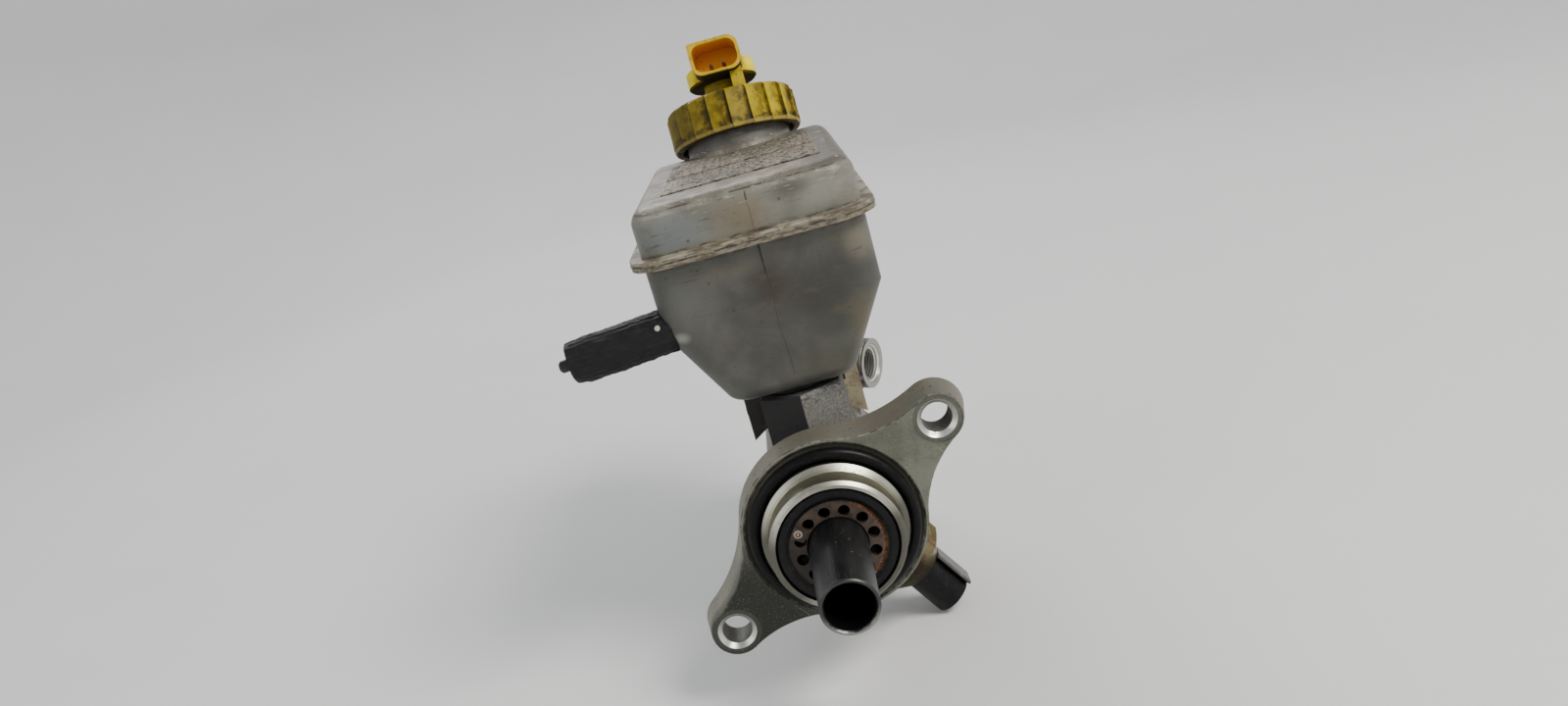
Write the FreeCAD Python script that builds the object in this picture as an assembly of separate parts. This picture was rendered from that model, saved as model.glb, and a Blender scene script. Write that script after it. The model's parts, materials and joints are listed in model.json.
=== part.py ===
"""Tandem brake master cylinder with fluid reservoir, in millimetres.

Frame: the origin is where the cylinder bore's axis meets the flange's mounting face. +Y runs along
the bore, away from the brake booster, +Z points up to the reservoir and +X to the right.
"""
import FreeCAD, Part
import math
import os
from FreeCAD import Placement, Rotation, Vector

os.makedirs("parts", exist_ok=True)

# ---- driving dimensions -------------------------------------------------------------------------
# mounting flange
BOLT_SPACING = 84.0
BOLT_LINE_ANGLE = 34.0
BOLT_HOLE_R = 4.3
BOLT_CHAMFER_R = 5.5
FLANGE_T = 10.0
SPOT_FACE_R, SPOT_FACE_DEPTH = 7.0, 0.3
FRONT_HUB_R, FRONT_EAR_R, FRONT_WAIST_R = 26.4, 7.3, 31.0
REAR_HUB_R, REAR_EAR_R, REAR_WAIST_R = 26.9, 9.0, 44.0

# spigot that enters the booster
SPIGOT_R = 18.8
SPIGOT_STEP_R = 20.6
SPIGOT_END = -11.9
SPIGOT_BORE_R = 17.0
SPIGOT_FLOOR = -2.6
O_RING_SECTION_R = 1.78
CLIP_REAR = -7.8
DISC_FRONT, DISC_TURN, TAB_TURN = -11.3, 7.7, 34.0

# barrel and bore
BORE_R = 11.1
BORE_END = 118.0
BARREL_R = 17.5
BARREL_END = 126.0
PASSAGE_R = 1.5

# pistons and their travel
PISTON_R = 11.05
PRIMARY_REAR, PRIMARY_FRONT = -2.3, 26.0
FLOATING_REAR, FLOATING_FRONT = 58.0, 86.0
TUBE_END = -45.1
TUBE_END_R, TUBE_ROOT_R = 7.62, 8.2
SOCKET_R = 6.45
GROOVE_R = 8.5
WAIST_R = 9.6
SPRING_MEAN_R = 8.7
SPRING_WIRE_R = 1.0
SPRING_TURNS = 6.0

# reservoir inlets on top of the barrel
INLETS_Y = (25.0, 84.5)
INLET_TOP = 36.0
INLET_HEX_R = 13.9
INLET_HEX_TURN = 27.0
POCKET_R = 7.6
POCKET_FLOOR = 22.0
SPOUT_R = 5.4

# reservoir shells
TANK_BOTTOM, SEAM_Z, DECK_Z = 37.6, 82.6, 97.4
TANK_FRONT, TANK_REAR = 12.0, 136.0
TANK_X = -0.7
TANK_HALF_W = 31.3
TANK_FOOT_HALF_W = 17.9
SHOULDER_Z = 61.0
RAMP_Y, RAMP_END_Z = 104.0, 57.0
DECK_BREAK_Y, DECK_END_Z = 105.0, 87.6
TANK_WALL = 2.5
SEAM_HALF_W, SEAM_OVERHANG, SEAM_HALF_T = 34.6, 3.5, 1.4
CORNER_R, LOWER_EDGE_R, UPPER_EDGE_R = 8.0, 4.0, 5.0

# legs that clip the reservoir to the body's lug, and their cross pin
LEG_INNER_X, LEG_OUTER_X, LEG_W = 13.2, 18.2, 9.6
LEG_TIP_Z, LEG_SLANT = 14.4, 3.2
PIN_Y, PIN_Z, PIN_R, PIN_HOLE_R = 50.0, 23.0, 1.46, 1.5

# filler neck and cap, on an axis that leans back
CAP_BASE = Vector(0, 112, 98.2)
CAP_LEAN = 17.5
NECK_R, NECK_BORE_R, NECK_TOP = 18.0, 14.9, 10.0
RING_R, RING_H = 22.2, 13.5
GRIP_COUNT, GRIP_ROOT_R, GRIP_CREST_R = 20, 21.5, 22.5
THREAD_PITCH = 4.0
HUB_R, HUB_LOW, HUB_HIGH = 12.0, 20.5, 26.6
SHROUD_W, SHROUD_H, SHROUD_REACH, SHROUD_WALL = 17.0, 11.5, 18.0, 1.0
STEM_LENGTH = 41.0
FLOAT_REST, FLOAT_H, FLOAT_TRAVEL = -39.2, 11.0, 16.0

# brake-pipe ports
PORT_R, PORT_BOSS_R, PORT_DEPTH = 5.45, 8.2, 12.0
FRONT_PORT = Vector(23.9, 68, 21.7)
FRONT_PORT_AXIS = Vector(0.863, -0.497, -0.09)
REAR_PORT_Y, REAR_PORT_ANGLE, REAR_PORT_REACH = 109.0, -50.0, 26.0

# pressure sensor, on a radial boss
SENSOR_Y = 26.0
SENSOR_ANGLE = 147.0
SENSOR_SEAT, SENSOR_NECK, SENSOR_END = 24.0, 38.5, 52.2
SENSOR_R, SENSOR_SOCKET_R = 6.2, 4.8

# hose stub on the left spout
HOSE_Y, HOSE_Z, HOSE_R, HOSE_BORE_R = 20.0, 62.1, 6.6, 4.6
HOSE_START, HOSE_LENGTH, HOSE_DROOP = -30.0, 30.1, 2.07
SPOUT_TUBE_R, SPOUT_REACH = 4.4, 15.5

AXIS_X, AXIS_Y, AXIS_Z = Vector(1, 0, 0), Vector(0, 1, 0), Vector(0, 0, 1)
ORIGIN = Vector(0, 0, 0)


# ---- building blocks ----------------------------------------------------------------------------
def save(node, shape):
    """Write one sub-part, with its placement baked into its geometry."""
    shape.exportStep("parts/" + node + ".step")


def drum(r, y0, y1, x=0.0, z=0.0):
    """Solid cylinder along Y."""
    return Part.makeCylinder(r, y1 - y0, Vector(x, y0, z), AXIS_Y)


def ring(r_in, r_out, y0, y1):
    """Flat ring about the bore's axis."""
    return drum(r_out, y0, y1).cut(drum(r_in, y0, y1))


def cross_drum(r, x0, x1):
    """Solid cylinder along X, on the reservoir's cross pin."""
    return Part.makeCylinder(r, x1 - x0, Vector(x0, PIN_Y, PIN_Z), AXIS_X)


def post(r, z0, z1, x=0.0, y=0.0):
    """Solid cylinder along Z."""
    return Part.makeCylinder(r, z1 - z0, Vector(x, y, z0), AXIS_Z)


def box(x0, x1, y0, y1, z0, z1):
    return Part.makeBox(x1 - x0, y1 - y0, z1 - z0, Vector(x0, y0, z0))


def prism(points, depth):
    """Closed outline pushed along a vector."""
    return Part.Face(Part.makePolygon(points + points[:1])).extrude(depth)


def turned(profile, about=AXIS_Y):
    """Solid of revolution: profile holds (radius, station) pairs."""
    points = [AXIS_X * r + about * s for r, s in profile]
    face = Part.Face(Part.makePolygon(points + points[:1]))
    return face.revolve(ORIGIN, about, 360)


def place(shape, base, rotation):
    """Copy of a shape moved to a base point and turned."""
    moved = shape.copy()
    moved.Placement = Placement(base, rotation)
    return moved


def on_cap_axis(shape):
    """Move a shape built about +Z, with z = 0 at the ring's lower edge, onto the leaning axis."""
    return place(shape, CAP_BASE, Rotation(AXIS_X, -CAP_LEAN))


def on_sensor_axis(shape):
    """Move a shape built about +Z, with z = 0 on the bore's axis, onto the sensor's axis."""
    return place(shape, Vector(0, SENSOR_Y, 0), Rotation(AXIS_Y, SENSOR_ANGLE))


def along(shape, base, axis):
    """Move a shape built about +Z so that it starts at base and runs along axis."""
    return place(shape, base, Rotation(AXIS_Z, axis))


def hexagon(across_corners_r, z0, z1, turn=0.0):
    """Hexagonal prism along Z."""
    angles = [math.radians(60 * i + turn) for i in range(6)]
    points = [Vector(across_corners_r * math.cos(a), across_corners_r * math.sin(a), z0)
              for a in angles]
    return prism(points, Vector(0, 0, z1 - z0))


def rounded_slab(half_w, y0, y1, z0, z1, corner):
    """Slab over the reservoir's plan, with rounded vertical corners."""
    slab = box(TANK_X - half_w, TANK_X + half_w, y0, y1, z0, z1)
    upright = [e for e in slab.Edges if abs(e.tangentAt(e.FirstParameter).z) > 0.9]
    return slab.makeFillet(corner, upright)


def coil(mean_r, wire_r, y0, y1, turns):
    """Compression spring along the bore, from y0 to y1 over its wire."""
    height = y1 - y0 - 2 * wire_r
    helix = Part.makeHelix(height / turns, height, mean_r)
    start = Part.Circle(Vector(mean_r, 0, 0), AXIS_Y, wire_r).toShape()
    wire = Part.Wire(helix).makePipeShell([Part.Wire(start)], True, True)
    return place(wire, Vector(0, y0 + wire_r, 0), Rotation(AXIS_Z, AXIS_Y))


# ---- cylinder body ------------------------------------------------------------------------------
def flange_outline(hub_r, ear_r, waist_r, y):
    """Round hub and two ears, joined by concave arcs that are tangent to both."""
    reach = BOLT_SPACING / 2
    to_hub = hub_r + waist_r
    to_ear = ear_r + waist_r
    along_line = (to_hub ** 2 - to_ear ** 2 + reach ** 2) / (2 * reach)
    off_line = math.sqrt(to_hub ** 2 - along_line ** 2)
    waist = Vector(along_line, 0, off_line)
    ear = Vector(reach, 0, 0)

    hub_touch = waist * (hub_r / to_hub)
    ear_touch = ear + (waist - ear) * (ear_r / to_ear)
    middle = (hub_touch + ear_touch) / 2 - waist
    waist_mid = waist + middle * (waist_r / middle.Length)

    def flip(p, sx, sz):
        return Vector(p.x * sx, y, p.z * sz)

    def waist_arc(sx, sz):
        return Part.Arc(flip(hub_touch, sx, sz), flip(waist_mid, sx, sz), flip(ear_touch, sx, sz))

    edges = []
    for sx in (1, -1):
        tip = Vector(sx * (reach + ear_r), y, 0)
        edges.append(waist_arc(sx, 1).toShape())
        edges.append(Part.Arc(flip(ear_touch, sx, 1), tip, flip(ear_touch, sx, -1)).toShape())
        edges.append(waist_arc(sx, -1).toShape())
    for sz in (1, -1):
        top = Vector(0, y, sz * hub_r)
        edges.append(Part.Arc(flip(hub_touch, -1, sz), top, flip(hub_touch, 1, sz)).toShape())
    return Part.Wire(Part.__sortEdges__(edges))


def bolt_places():
    a = math.radians(BOLT_LINE_ANGLE)
    reach = BOLT_SPACING / 2
    return [Vector(s * reach * math.cos(a), 0, s * reach * math.sin(a)) for s in (1, -1)]


def flange():
    """Cast plate that widens towards its rear, with countersunk holes in machined spot faces."""
    front = flange_outline(FRONT_HUB_R, FRONT_EAR_R, FRONT_WAIST_R, 0)
    rear = flange_outline(REAR_HUB_R, REAR_EAR_R, REAR_WAIST_R, FLANGE_T)
    plate = Part.makeLoft([front, rear], True, True)
    rim = [e for e in plate.Edges if e.BoundBox.YLength < 0.01]
    plate = plate.makeFillet(0.6, rim)
    plate = place(plate, ORIGIN, Rotation(AXIS_Y, -BOLT_LINE_ANGLE))
    depth = BOLT_CHAMFER_R - BOLT_HOLE_R
    for at in bolt_places():
        hole = drum(BOLT_HOLE_R, -1, FLANGE_T + 1, at.x, at.z)
        spot_face = drum(SPOT_FACE_R, -1, SPOT_FACE_DEPTH, at.x, at.z)
        base = at + AXIS_Y * SPOT_FACE_DEPTH
        countersink = Part.makeCone(BOLT_CHAMFER_R, BOLT_HOLE_R, depth, base, AXIS_Y)
        plate = plate.cut([hole, spot_face, countersink])
    return plate


def spigot():
    """Stepped nose with machined chamfers."""
    return turned([(0, 1.5), (SPIGOT_STEP_R, 1.5), (SPIGOT_STEP_R, -3.2), (SPIGOT_R + 0.1, -4.8),
                   (SPIGOT_R, -4.8), (SPIGOT_R, SPIGOT_END + 0.9), (SPIGOT_R - 0.9, SPIGOT_END),
                   (0, SPIGOT_END)])


def barrel():
    """Cast tube with a heavier root, a rounded blind end and a strengthening rib below."""
    tube = turned([(0, 1), (BARREL_R + 3.5, 1), (BARREL_R + 3.5, FLANGE_T), (BARREL_R, FLANGE_T + 6),
                   (BARREL_R, BARREL_END - 3), (BARREL_R - 3, BARREL_END), (0, BARREL_END)])
    rib = prism([Vector(-2.5, 8, -16), Vector(-2.5, 8, -22.5), Vector(-2.5, 30, -20.5),
                 Vector(-2.5, BARREL_END - 8, -19.5), Vector(-2.5, BARREL_END - 4, -14)],
                Vector(5, 0, 0))
    return tube.fuse(rib)


def inlet_boss(y):
    boss = hexagon(INLET_HEX_R, 0, INLET_TOP, INLET_HEX_TURN)
    rim = [e for e in boss.Edges if e.BoundBox.ZMin > INLET_TOP - 0.01]
    return place(boss.makeChamfer(0.7, rim), Vector(0.8, y, 0), Rotation())


def pin_lug():
    """Lug between the reservoir's legs, with a rounded top round the cross pin."""
    lug = box(-12, 12, PIN_Y - 5, PIN_Y + 5, 5, PIN_Z + 0.5)
    crown = Part.makeCylinder(5, 24, Vector(-12, PIN_Y, PIN_Z + 0.5), AXIS_X)
    return lug.fuse(crown)


def front_port_boss():
    boss = along(post(PORT_BOSS_R, 0, 26), FRONT_PORT - FRONT_PORT_AXIS * 26, FRONT_PORT_AXIS)
    web = prism([Vector(0, 62, 4), Vector(16, 62, 4), Vector(16, 62, 14), Vector(12, 62, 20),
                 Vector(0, 62, 20)], Vector(0, 20, 0))
    return boss.fuse(web)


def rear_port_frame():
    a = math.radians(REAR_PORT_ANGLE)
    axis = Vector(math.cos(a), 0, math.sin(a))
    return Vector(0, REAR_PORT_Y, 0) + axis * REAR_PORT_REACH, axis


def port_cut(mouth, axis):
    """Threaded length with an entry chamfer and the drill's cone at its bottom."""
    plug = turned([(0, 1), (PORT_R + 1.1, 1), (PORT_R + 1.1, 0), (PORT_R, -1.1),
                   (PORT_R, -PORT_DEPTH), (PASSAGE_R, -PORT_DEPTH - 2.2), (0, -PORT_DEPTH - 2.2)],
                  AXIS_Z)
    return along(plug, mouth, axis)


def drilled(start, end, r=PASSAGE_R):
    """Straight drilled passage between two points."""
    run = end - start
    return Part.makeCylinder(r, run.Length, start, run)


def sensor_boss():
    boss = post(11, 8, SENSOR_SEAT - 1)
    return on_sensor_axis(boss)


def body_cuts():
    """Every hollow of the casting."""
    bore = turned([(0, SPIGOT_END - 1), (SPIGOT_BORE_R, SPIGOT_END - 1), (SPIGOT_BORE_R, SPIGOT_FLOOR),
                   (BORE_R, SPIGOT_FLOOR), (BORE_R, BORE_END), (BORE_R - 4, BORE_END + 3),
                   (0, BORE_END + 3)])
    groove = ring(SPIGOT_BORE_R - 1, SPIGOT_BORE_R + 0.6, CLIP_REAR - 0.9, CLIP_REAR)
    seal_seat = turned([(SPIGOT_STEP_R, -0.5), (25.6, -0.5), (25.6, 0), (24.4, 1.0),
                        (SPIGOT_STEP_R, 1.0)])
    cuts = [bore, groove, seal_seat]
    for y in INLETS_Y:
        cuts.append(post(POCKET_R, POCKET_FLOOR, INLET_TOP + 1, y=y))
        for x in (-4.5, 4.5):
            cuts.append(post(PASSAGE_R, 5, POCKET_FLOOR + 1, x=x, y=y - 3.5))
        cuts.append(post(0.7, 5, POCKET_FLOOR + 1, y=y + 3.2))
    cuts.append(post(1.5, 5, POCKET_FLOOR + 1, y=80))
    cuts.append(cross_drum(PIN_HOLE_R, -15, 15))

    cuts.append(port_cut(FRONT_PORT, FRONT_PORT_AXIS))
    port_bottom = FRONT_PORT - FRONT_PORT_AXIS * (PORT_DEPTH + 1)
    cuts.append(drilled(port_bottom, Vector(6.5, 57, 7)))

    mouth, axis = rear_port_frame()
    cuts.append(port_cut(mouth, axis))
    cuts.append(drilled(mouth - axis * PORT_DEPTH, Vector(0, REAR_PORT_Y, 0) + axis * 9))

    cuts.append(on_sensor_axis(post(5, 14, 30).fuse(post(PASSAGE_R, 8, 15))))
    return cuts


def cylinder_body():
    mouth, axis = rear_port_frame()
    rear_port_boss = along(post(PORT_BOSS_R, 0, 16), mouth - axis * 16, axis)
    solids = [spigot(), barrel(), pin_lug(), front_port_boss(), rear_port_boss, sensor_boss()]
    solids += [inlet_boss(y) for y in INLETS_Y]
    body = flange().multiFuse(solids).removeSplitter()
    return body.cut(body_cuts()).removeSplitter()


# ---- parts in the spigot ------------------------------------------------------------------------
def flange_o_ring():
    centre_r = SPIGOT_STEP_R + O_RING_SECTION_R + 0.02
    return Part.makeTorus(centre_r, O_RING_SECTION_R, Vector(0, -0.8, 0), AXIS_Y)


def support_ring():
    """Plastic ring that holds the guide disc, grooved for the retaining clip."""
    r = SPIGOT_BORE_R - 0.1
    return turned([(13.3, DISC_FRONT - 0.1), (14.4, DISC_FRONT - 0.5), (r - 0.7, DISC_FRONT - 0.3),
                   (r, DISC_FRONT + 0.6), (r, CLIP_REAR - 1.0), (15.7, CLIP_REAR - 1.0),
                   (15.7, CLIP_REAR + 0.1), (r, CLIP_REAR + 0.1), (r, -6.2), (14.1, -6.2),
                   (14.1, -9.7), (14.4, -9.7), (14.4, DISC_FRONT + 0.05), (13.3, DISC_FRONT + 0.05)])


def guide_disc():
    """Perforated disc round the push tube, with a riveted tab."""
    disc = ring(8.5, 14.3, DISC_FRONT + 0.1, -9.75)
    for i in range(12):
        a = math.radians(30 * i + DISC_TURN)
        disc = disc.cut(drum(1.65, -12, -8, 10.3 * math.cos(a), 10.3 * math.sin(a)))
    tab = box(-13.2, -9.2, DISC_FRONT - 0.4, DISC_FRONT + 0.3, -1.9, 1.6)
    rivet = drum(1.1, DISC_FRONT - 0.8, DISC_FRONT, -11.6, 0.2)
    eye = drum(0.5, DISC_FRONT - 2, DISC_FRONT - 0.5, -11.6, 0.2)
    tab = place(tab.fuse(rivet).cut(eye), ORIGIN, Rotation(AXIS_Y, TAB_TURN))
    return disc.fuse(tab).removeSplitter()


def circlip():
    """Split retaining ring in the spigot's groove."""
    clip = ring(15.8, SPIGOT_BORE_R + 0.5, CLIP_REAR - 0.85, CLIP_REAR - 0.05)
    return clip.cut(box(-3, 3, -12, -5, -20, -10))


def vacuum_seal():
    """Lip seal that wipes the push tube."""
    return turned([(16.9, -6.1), (16.9, -2.8), (12.6, -2.8), (12.6, -4.6), (9.4, -3.4), (8.35, -4.1),
                   (8.35, -5.0), (9.4, -5.4), (11.8, -6.1)])


# ---- pistons, cups and springs ------------------------------------------------------------------
def primary_piston():
    """Piston with its push tube, which takes the booster's rod in its socket."""
    tube = [(SOCKET_R, TUBE_END + 0.5), (SOCKET_R + 0.4, TUBE_END), (TUBE_END_R - 0.3, TUBE_END),
            (TUBE_END_R, TUBE_END + 0.3), (TUBE_ROOT_R, PRIMARY_REAR - 5), (TUBE_ROOT_R, PRIMARY_REAR)]
    rear_land = [(PISTON_R, PRIMARY_REAR), (PISTON_R, 0.5), (GROOVE_R, 0.5), (GROOVE_R, 3.0),
                 (PISTON_R, 3.0), (PISTON_R, 4.6), (WAIST_R, 5.4)]
    front_land = [(WAIST_R, 20.6), (PISTON_R, 21.4), (PISTON_R, 22.4), (GROOVE_R, 22.4),
                  (GROOVE_R, 25.0), (PISTON_R - 0.6, 25.0), (PISTON_R - 0.6, PRIMARY_FRONT)]
    spring_well = [(7.6, PRIMARY_FRONT), (7.6, 18.0), (1.95, 18.0), (1.95, 9.0), (0, 8.2)]
    rod_socket = [(0, 4.0), (3.4, 0.8), (SOCKET_R, -1.5)]
    return turned(tube + rear_land + front_land + spring_well + rod_socket)


def cup(y0, thickness):
    """Pressure cup whose lip opens towards +Y."""
    y1 = y0 + thickness
    return turned([(GROOVE_R + 0.02, y0), (PISTON_R - 0.25, y0), (PISTON_R, y1 - 0.2),
                   (PISTON_R - 0.5, y1), (PISTON_R - 1.1, y0 + 0.8), (GROOVE_R + 0.9, y0 + 0.8),
                   (GROOVE_R + 0.5, y1), (GROOVE_R + 0.02, y1)])


def cup_washer(y0):
    """Thin washer behind a pressure cup."""
    return ring(GROOVE_R + 0.02, PISTON_R - 0.3, y0, y0 + 0.4)


def captive_screw():
    """Screw in the primary piston, its head held inside the spring sleeve."""
    screw = drum(1.9, 9.2, 41.4).fuse(drum(3.4, 38.9, 41.4))
    return screw.cut(hexagon_socket(41.4))


def hexagon_socket(y_top):
    return place(hexagon(1.3, -1.2, 0.5), Vector(0, y_top, 0), Rotation(AXIS_Z, AXIS_Y))


def spring_sleeve():
    """Stepped cup that carries the primary spring and catches the screw's head."""
    return turned([(2.2, 37.5), (6.4, 37.5), (6.4, 56.8), (10.2, 56.8), (10.2, 57.95), (5.2, 57.95),
                   (5.2, 38.7), (2.2, 38.7)])


def floating_piston():
    """Piston between the two circuits, slotted for its stop pin."""
    rear_land = [(0, FLOATING_REAR), (PISTON_R - 0.6, FLOATING_REAR), (PISTON_R - 0.6, 59.0),
                 (GROOVE_R, 59.0), (GROOVE_R, 61.2), (PISTON_R, 61.2), (PISTON_R, 62.2),
                 (WAIST_R, 63.0)]
    front_land = [(WAIST_R, 80.6), (PISTON_R, 81.4), (PISTON_R, 82.6), (GROOVE_R, 82.6),
                  (GROOVE_R, 85.2), (PISTON_R - 0.6, 85.2), (PISTON_R - 0.6, FLOATING_FRONT)]
    spring_spigot = [(7.2, FLOATING_FRONT), (7.2, 88.5), (6.6, 89.0), (0, 89.0)]
    slot = box(-1.9, 1.9, 62.2, 81.8, 3.2, 12)
    return turned(rear_land + front_land + spring_spigot).cut(slot)


def secondary_spring_seat():
    """Dished washer at the blind end of the bore."""
    return turned([(4, 116.2), (7.3, 115.0), (7.3, 116.8), (10.6, 116.8), (10.6, 117.9), (4, 117.9)])


def stop_pin():
    """Pin that holds the floating piston back, pressed in below the rear inlet's pocket."""
    return post(1.48, 4.4, POCKET_FLOOR + 0.5, y=80)


# ---- reservoir ----------------------------------------------------------------------------------
def inset(points, d):
    """Move every side of a convex outline, given anticlockwise in (u, v), inwards by d."""
    moved = []
    count = len(points)
    for i in range(count):
        (ax, ay), (bx, by), (cx, cy) = points[i - 1], points[i], points[(i + 1) % count]
        n1 = Vector(ay - by, bx - ax, 0).normalize()
        n2 = Vector(by - cy, cx - bx, 0).normalize()
        k = d / (1 + n1.dot(n2))
        moved.append((bx + k * (n1.x + n2.x), by + k * (n1.y + n2.y)))
    return moved


def tank_block(front, side, d, corner, edge_r, flat_z):
    """Where a front-view and a side-view outline meet, inset by d, with rounded edges.

    The edges at height flat_z stay sharp, because the two shells join there.
    """
    across = prism([Vector(TANK_X + x, 0, z) for x, z in inset(front, d)], Vector(0, 200, 0))
    lengthways = prism([Vector(-60, y, z) for y, z in inset(side, d)], Vector(120, 0, 0))
    block = across.common(lengthways)

    def at_joint(edge):
        return edge.BoundBox.ZLength < 0.01 and abs(edge.BoundBox.ZMin - flat_z) < 4

    upright = [e for e in block.Edges if e.BoundBox.YLength < 0.01 and e.BoundBox.ZLength > 1]
    block = block.makeFillet(corner, upright)
    rest = [e for e in block.Edges if not at_joint(e) and e.BoundBox.ZLength < 25
            and (e.BoundBox.ZMax < 60 or e.BoundBox.ZMin > 86)]
    return block.makeFillet(edge_r, rest)


def lower_block(d, top_z, corner, edge_r):
    front = [(-TANK_FOOT_HALF_W, TANK_BOTTOM), (TANK_FOOT_HALF_W, TANK_BOTTOM),
             (TANK_HALF_W, SHOULDER_Z), (TANK_HALF_W, top_z + d), (-TANK_HALF_W, top_z + d),
             (-TANK_HALF_W, SHOULDER_Z)]
    side = [(TANK_FRONT, TANK_BOTTOM), (RAMP_Y, TANK_BOTTOM), (TANK_REAR, RAMP_END_Z),
            (TANK_REAR, top_z + d), (TANK_FRONT, top_z + d)]
    return tank_block(front, side, d, corner, edge_r, top_z)


def upper_block(d, low_z, corner, edge_r):
    front = [(-TANK_HALF_W, low_z - d), (TANK_HALF_W, low_z - d), (TANK_HALF_W, DECK_Z),
             (-TANK_HALF_W, DECK_Z)]
    side = [(TANK_FRONT, low_z - d), (TANK_REAR, low_z - d), (TANK_REAR, DECK_END_Z),
            (DECK_BREAK_Y, DECK_Z), (TANK_FRONT, DECK_Z)]
    return tank_block(front, side, d, corner, edge_r, low_z)


def seam_flange(z0, z1):
    return rounded_slab(SEAM_HALF_W, TANK_FRONT - SEAM_OVERHANG, TANK_REAR + SEAM_OVERHANG, z0, z1, 11)


def leg(side):
    """Clip leg beside the body's lug, cut to a point at its outer corner."""
    corners = [(LEG_INNER_X, 44), (LEG_OUTER_X, 44), (LEG_OUTER_X, LEG_TIP_Z),
               (LEG_INNER_X, LEG_TIP_Z + LEG_SLANT)]
    front = PIN_Y - LEG_W / 2
    plate = prism([Vector(side * x, front, z) for x, z in corners], Vector(0, LEG_W, 0))
    return plate.cut(cross_drum(PIN_HOLE_R, -30, 30))


def hose_axis():
    return Vector(-HOSE_LENGTH, 0, -HOSE_DROOP).normalize()


def hose_piece(shape, offset=0.0):
    """Move a shape built about +Z onto the hose's axis, offset from the spout's root."""
    start = Vector(HOSE_START, HOSE_Y, HOSE_Z)
    return along(shape, start + hose_axis() * offset, hose_axis())


def reservoir_lower_shell():
    outer = lower_block(0, SEAM_Z, CORNER_R, LOWER_EDGE_R)
    spouts = [post(SPOUT_R, 24, TANK_BOTTOM + 2, y=y) for y in INLETS_Y]
    barb = turned([(0, -4), (SPOUT_TUBE_R, -4), (SPOUT_TUBE_R, SPOUT_REACH - 2.5),
                   (SPOUT_TUBE_R - 0.3, SPOUT_REACH), (0, SPOUT_REACH)], AXIS_Z)
    solids = [seam_flange(SEAM_Z - SEAM_HALF_T, SEAM_Z), leg(1), leg(-1), hose_piece(barb)]
    shell = outer.multiFuse(solids + spouts)

    inner = lower_block(TANK_WALL, SEAM_Z + 5, 5.5, 1.5)
    wall = box(-TANK_HALF_W - 1, TANK_HALF_W, 60.75, 63.25, TANK_BOTTOM, 66)
    notch = box(-6, 6, 60, 64, 58, 70)
    shell = shell.cut(inner).fuse(wall.cut(notch).common(outer))

    cuts = [post(SPOUT_R - 1.6, 20, TANK_BOTTOM + 5, y=y) for y in INLETS_Y]
    cuts.append(hose_piece(post(2.8, -8, 20)))
    return shell.cut(cuts).removeSplitter()


def helical_ridge(r, depth, z0, turns, phase):
    """Screw-thread ridge about +Z; a negative depth points it inwards."""
    helix = Part.makeHelix(THREAD_PITCH, THREAD_PITCH * turns, r)
    root, crest = 0.7, 0.35
    overlap = -0.3 if depth > 0 else 0.3
    corners = [Vector(r + overlap, 0, -root), Vector(r + depth, 0, -crest),
               Vector(r + depth, 0, crest), Vector(r + overlap, 0, root)]
    profile = Part.makePolygon(corners + corners[:1])
    ridge = Part.Wire(helix).makePipeShell([profile], True, True)
    return place(ridge, Vector(0, 0, z0), Rotation(AXIS_Z, phase))


def reservoir_upper_shell():
    outer = upper_block(0, SEAM_Z, CORNER_R, UPPER_EDGE_R)
    neck = on_cap_axis(post(NECK_R, -7, NECK_TOP).fuse(helical_ridge(NECK_R, 1.1, 2.0, 1.5, 0)))
    pads = [box(-23, 23, y0, y1, DECK_Z - 1, DECK_Z + 0.35) for y0, y1 in ((29, 56), (59, 90))]
    shell = outer.multiFuse([seam_flange(SEAM_Z, SEAM_Z + SEAM_HALF_T), neck] + pads)
    inner = upper_block(TANK_WALL, SEAM_Z - 5, 5.5, 2.5)
    throat = on_cap_axis(post(NECK_BORE_R, -14, NECK_TOP + 2).fuse(post(15.7, 7.0, NECK_TOP + 2)))
    return shell.cut([inner, throat]).removeSplitter()


def grommets():
    """Rubber bushes that seal the spouts in the body's pockets."""
    inner, outer, collar = SPOUT_R + 0.05, POCKET_R - 0.05, 9.6
    low, shelf, top = POCKET_FLOOR + 0.6, INLET_TOP + 0.05, TANK_BOTTOM - 0.1
    bush = turned([(inner, low), (outer, low), (outer, shelf), (collar, shelf), (collar, top),
                   (inner, top)], AXIS_Z)
    return Part.makeCompound([place(bush, Vector(0, y, 0), Rotation()) for y in INLETS_Y])


def reservoir_pin():
    """Cross pin with a shallow head, through both legs and the lug."""
    shank = cross_drum(PIN_R, -18.6, 19.0)
    head = cross_drum(2.6, LEG_OUTER_X + 0.1, LEG_OUTER_X + 1.3)
    return shank.fuse(head)


def filler_strainer():
    """Slotted basket that hangs in the neck."""
    basket = turned([(14.1, 7.05), (15.65, 7.05), (15.65, 9.8), (13.4, 9.8), (13.4, -43), (5, -43),
                     (5, -44), (14.4, -44), (14.4, 6.4), (14.1, 6.4)], AXIS_Z)
    for i in range(12):
        slot = box(12, 16, -1.5, 1.5, -40, -8)
        basket = basket.cut(place(slot, ORIGIN, Rotation(AXIS_Z, 30 * i)))
    return on_cap_axis(basket)


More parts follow.
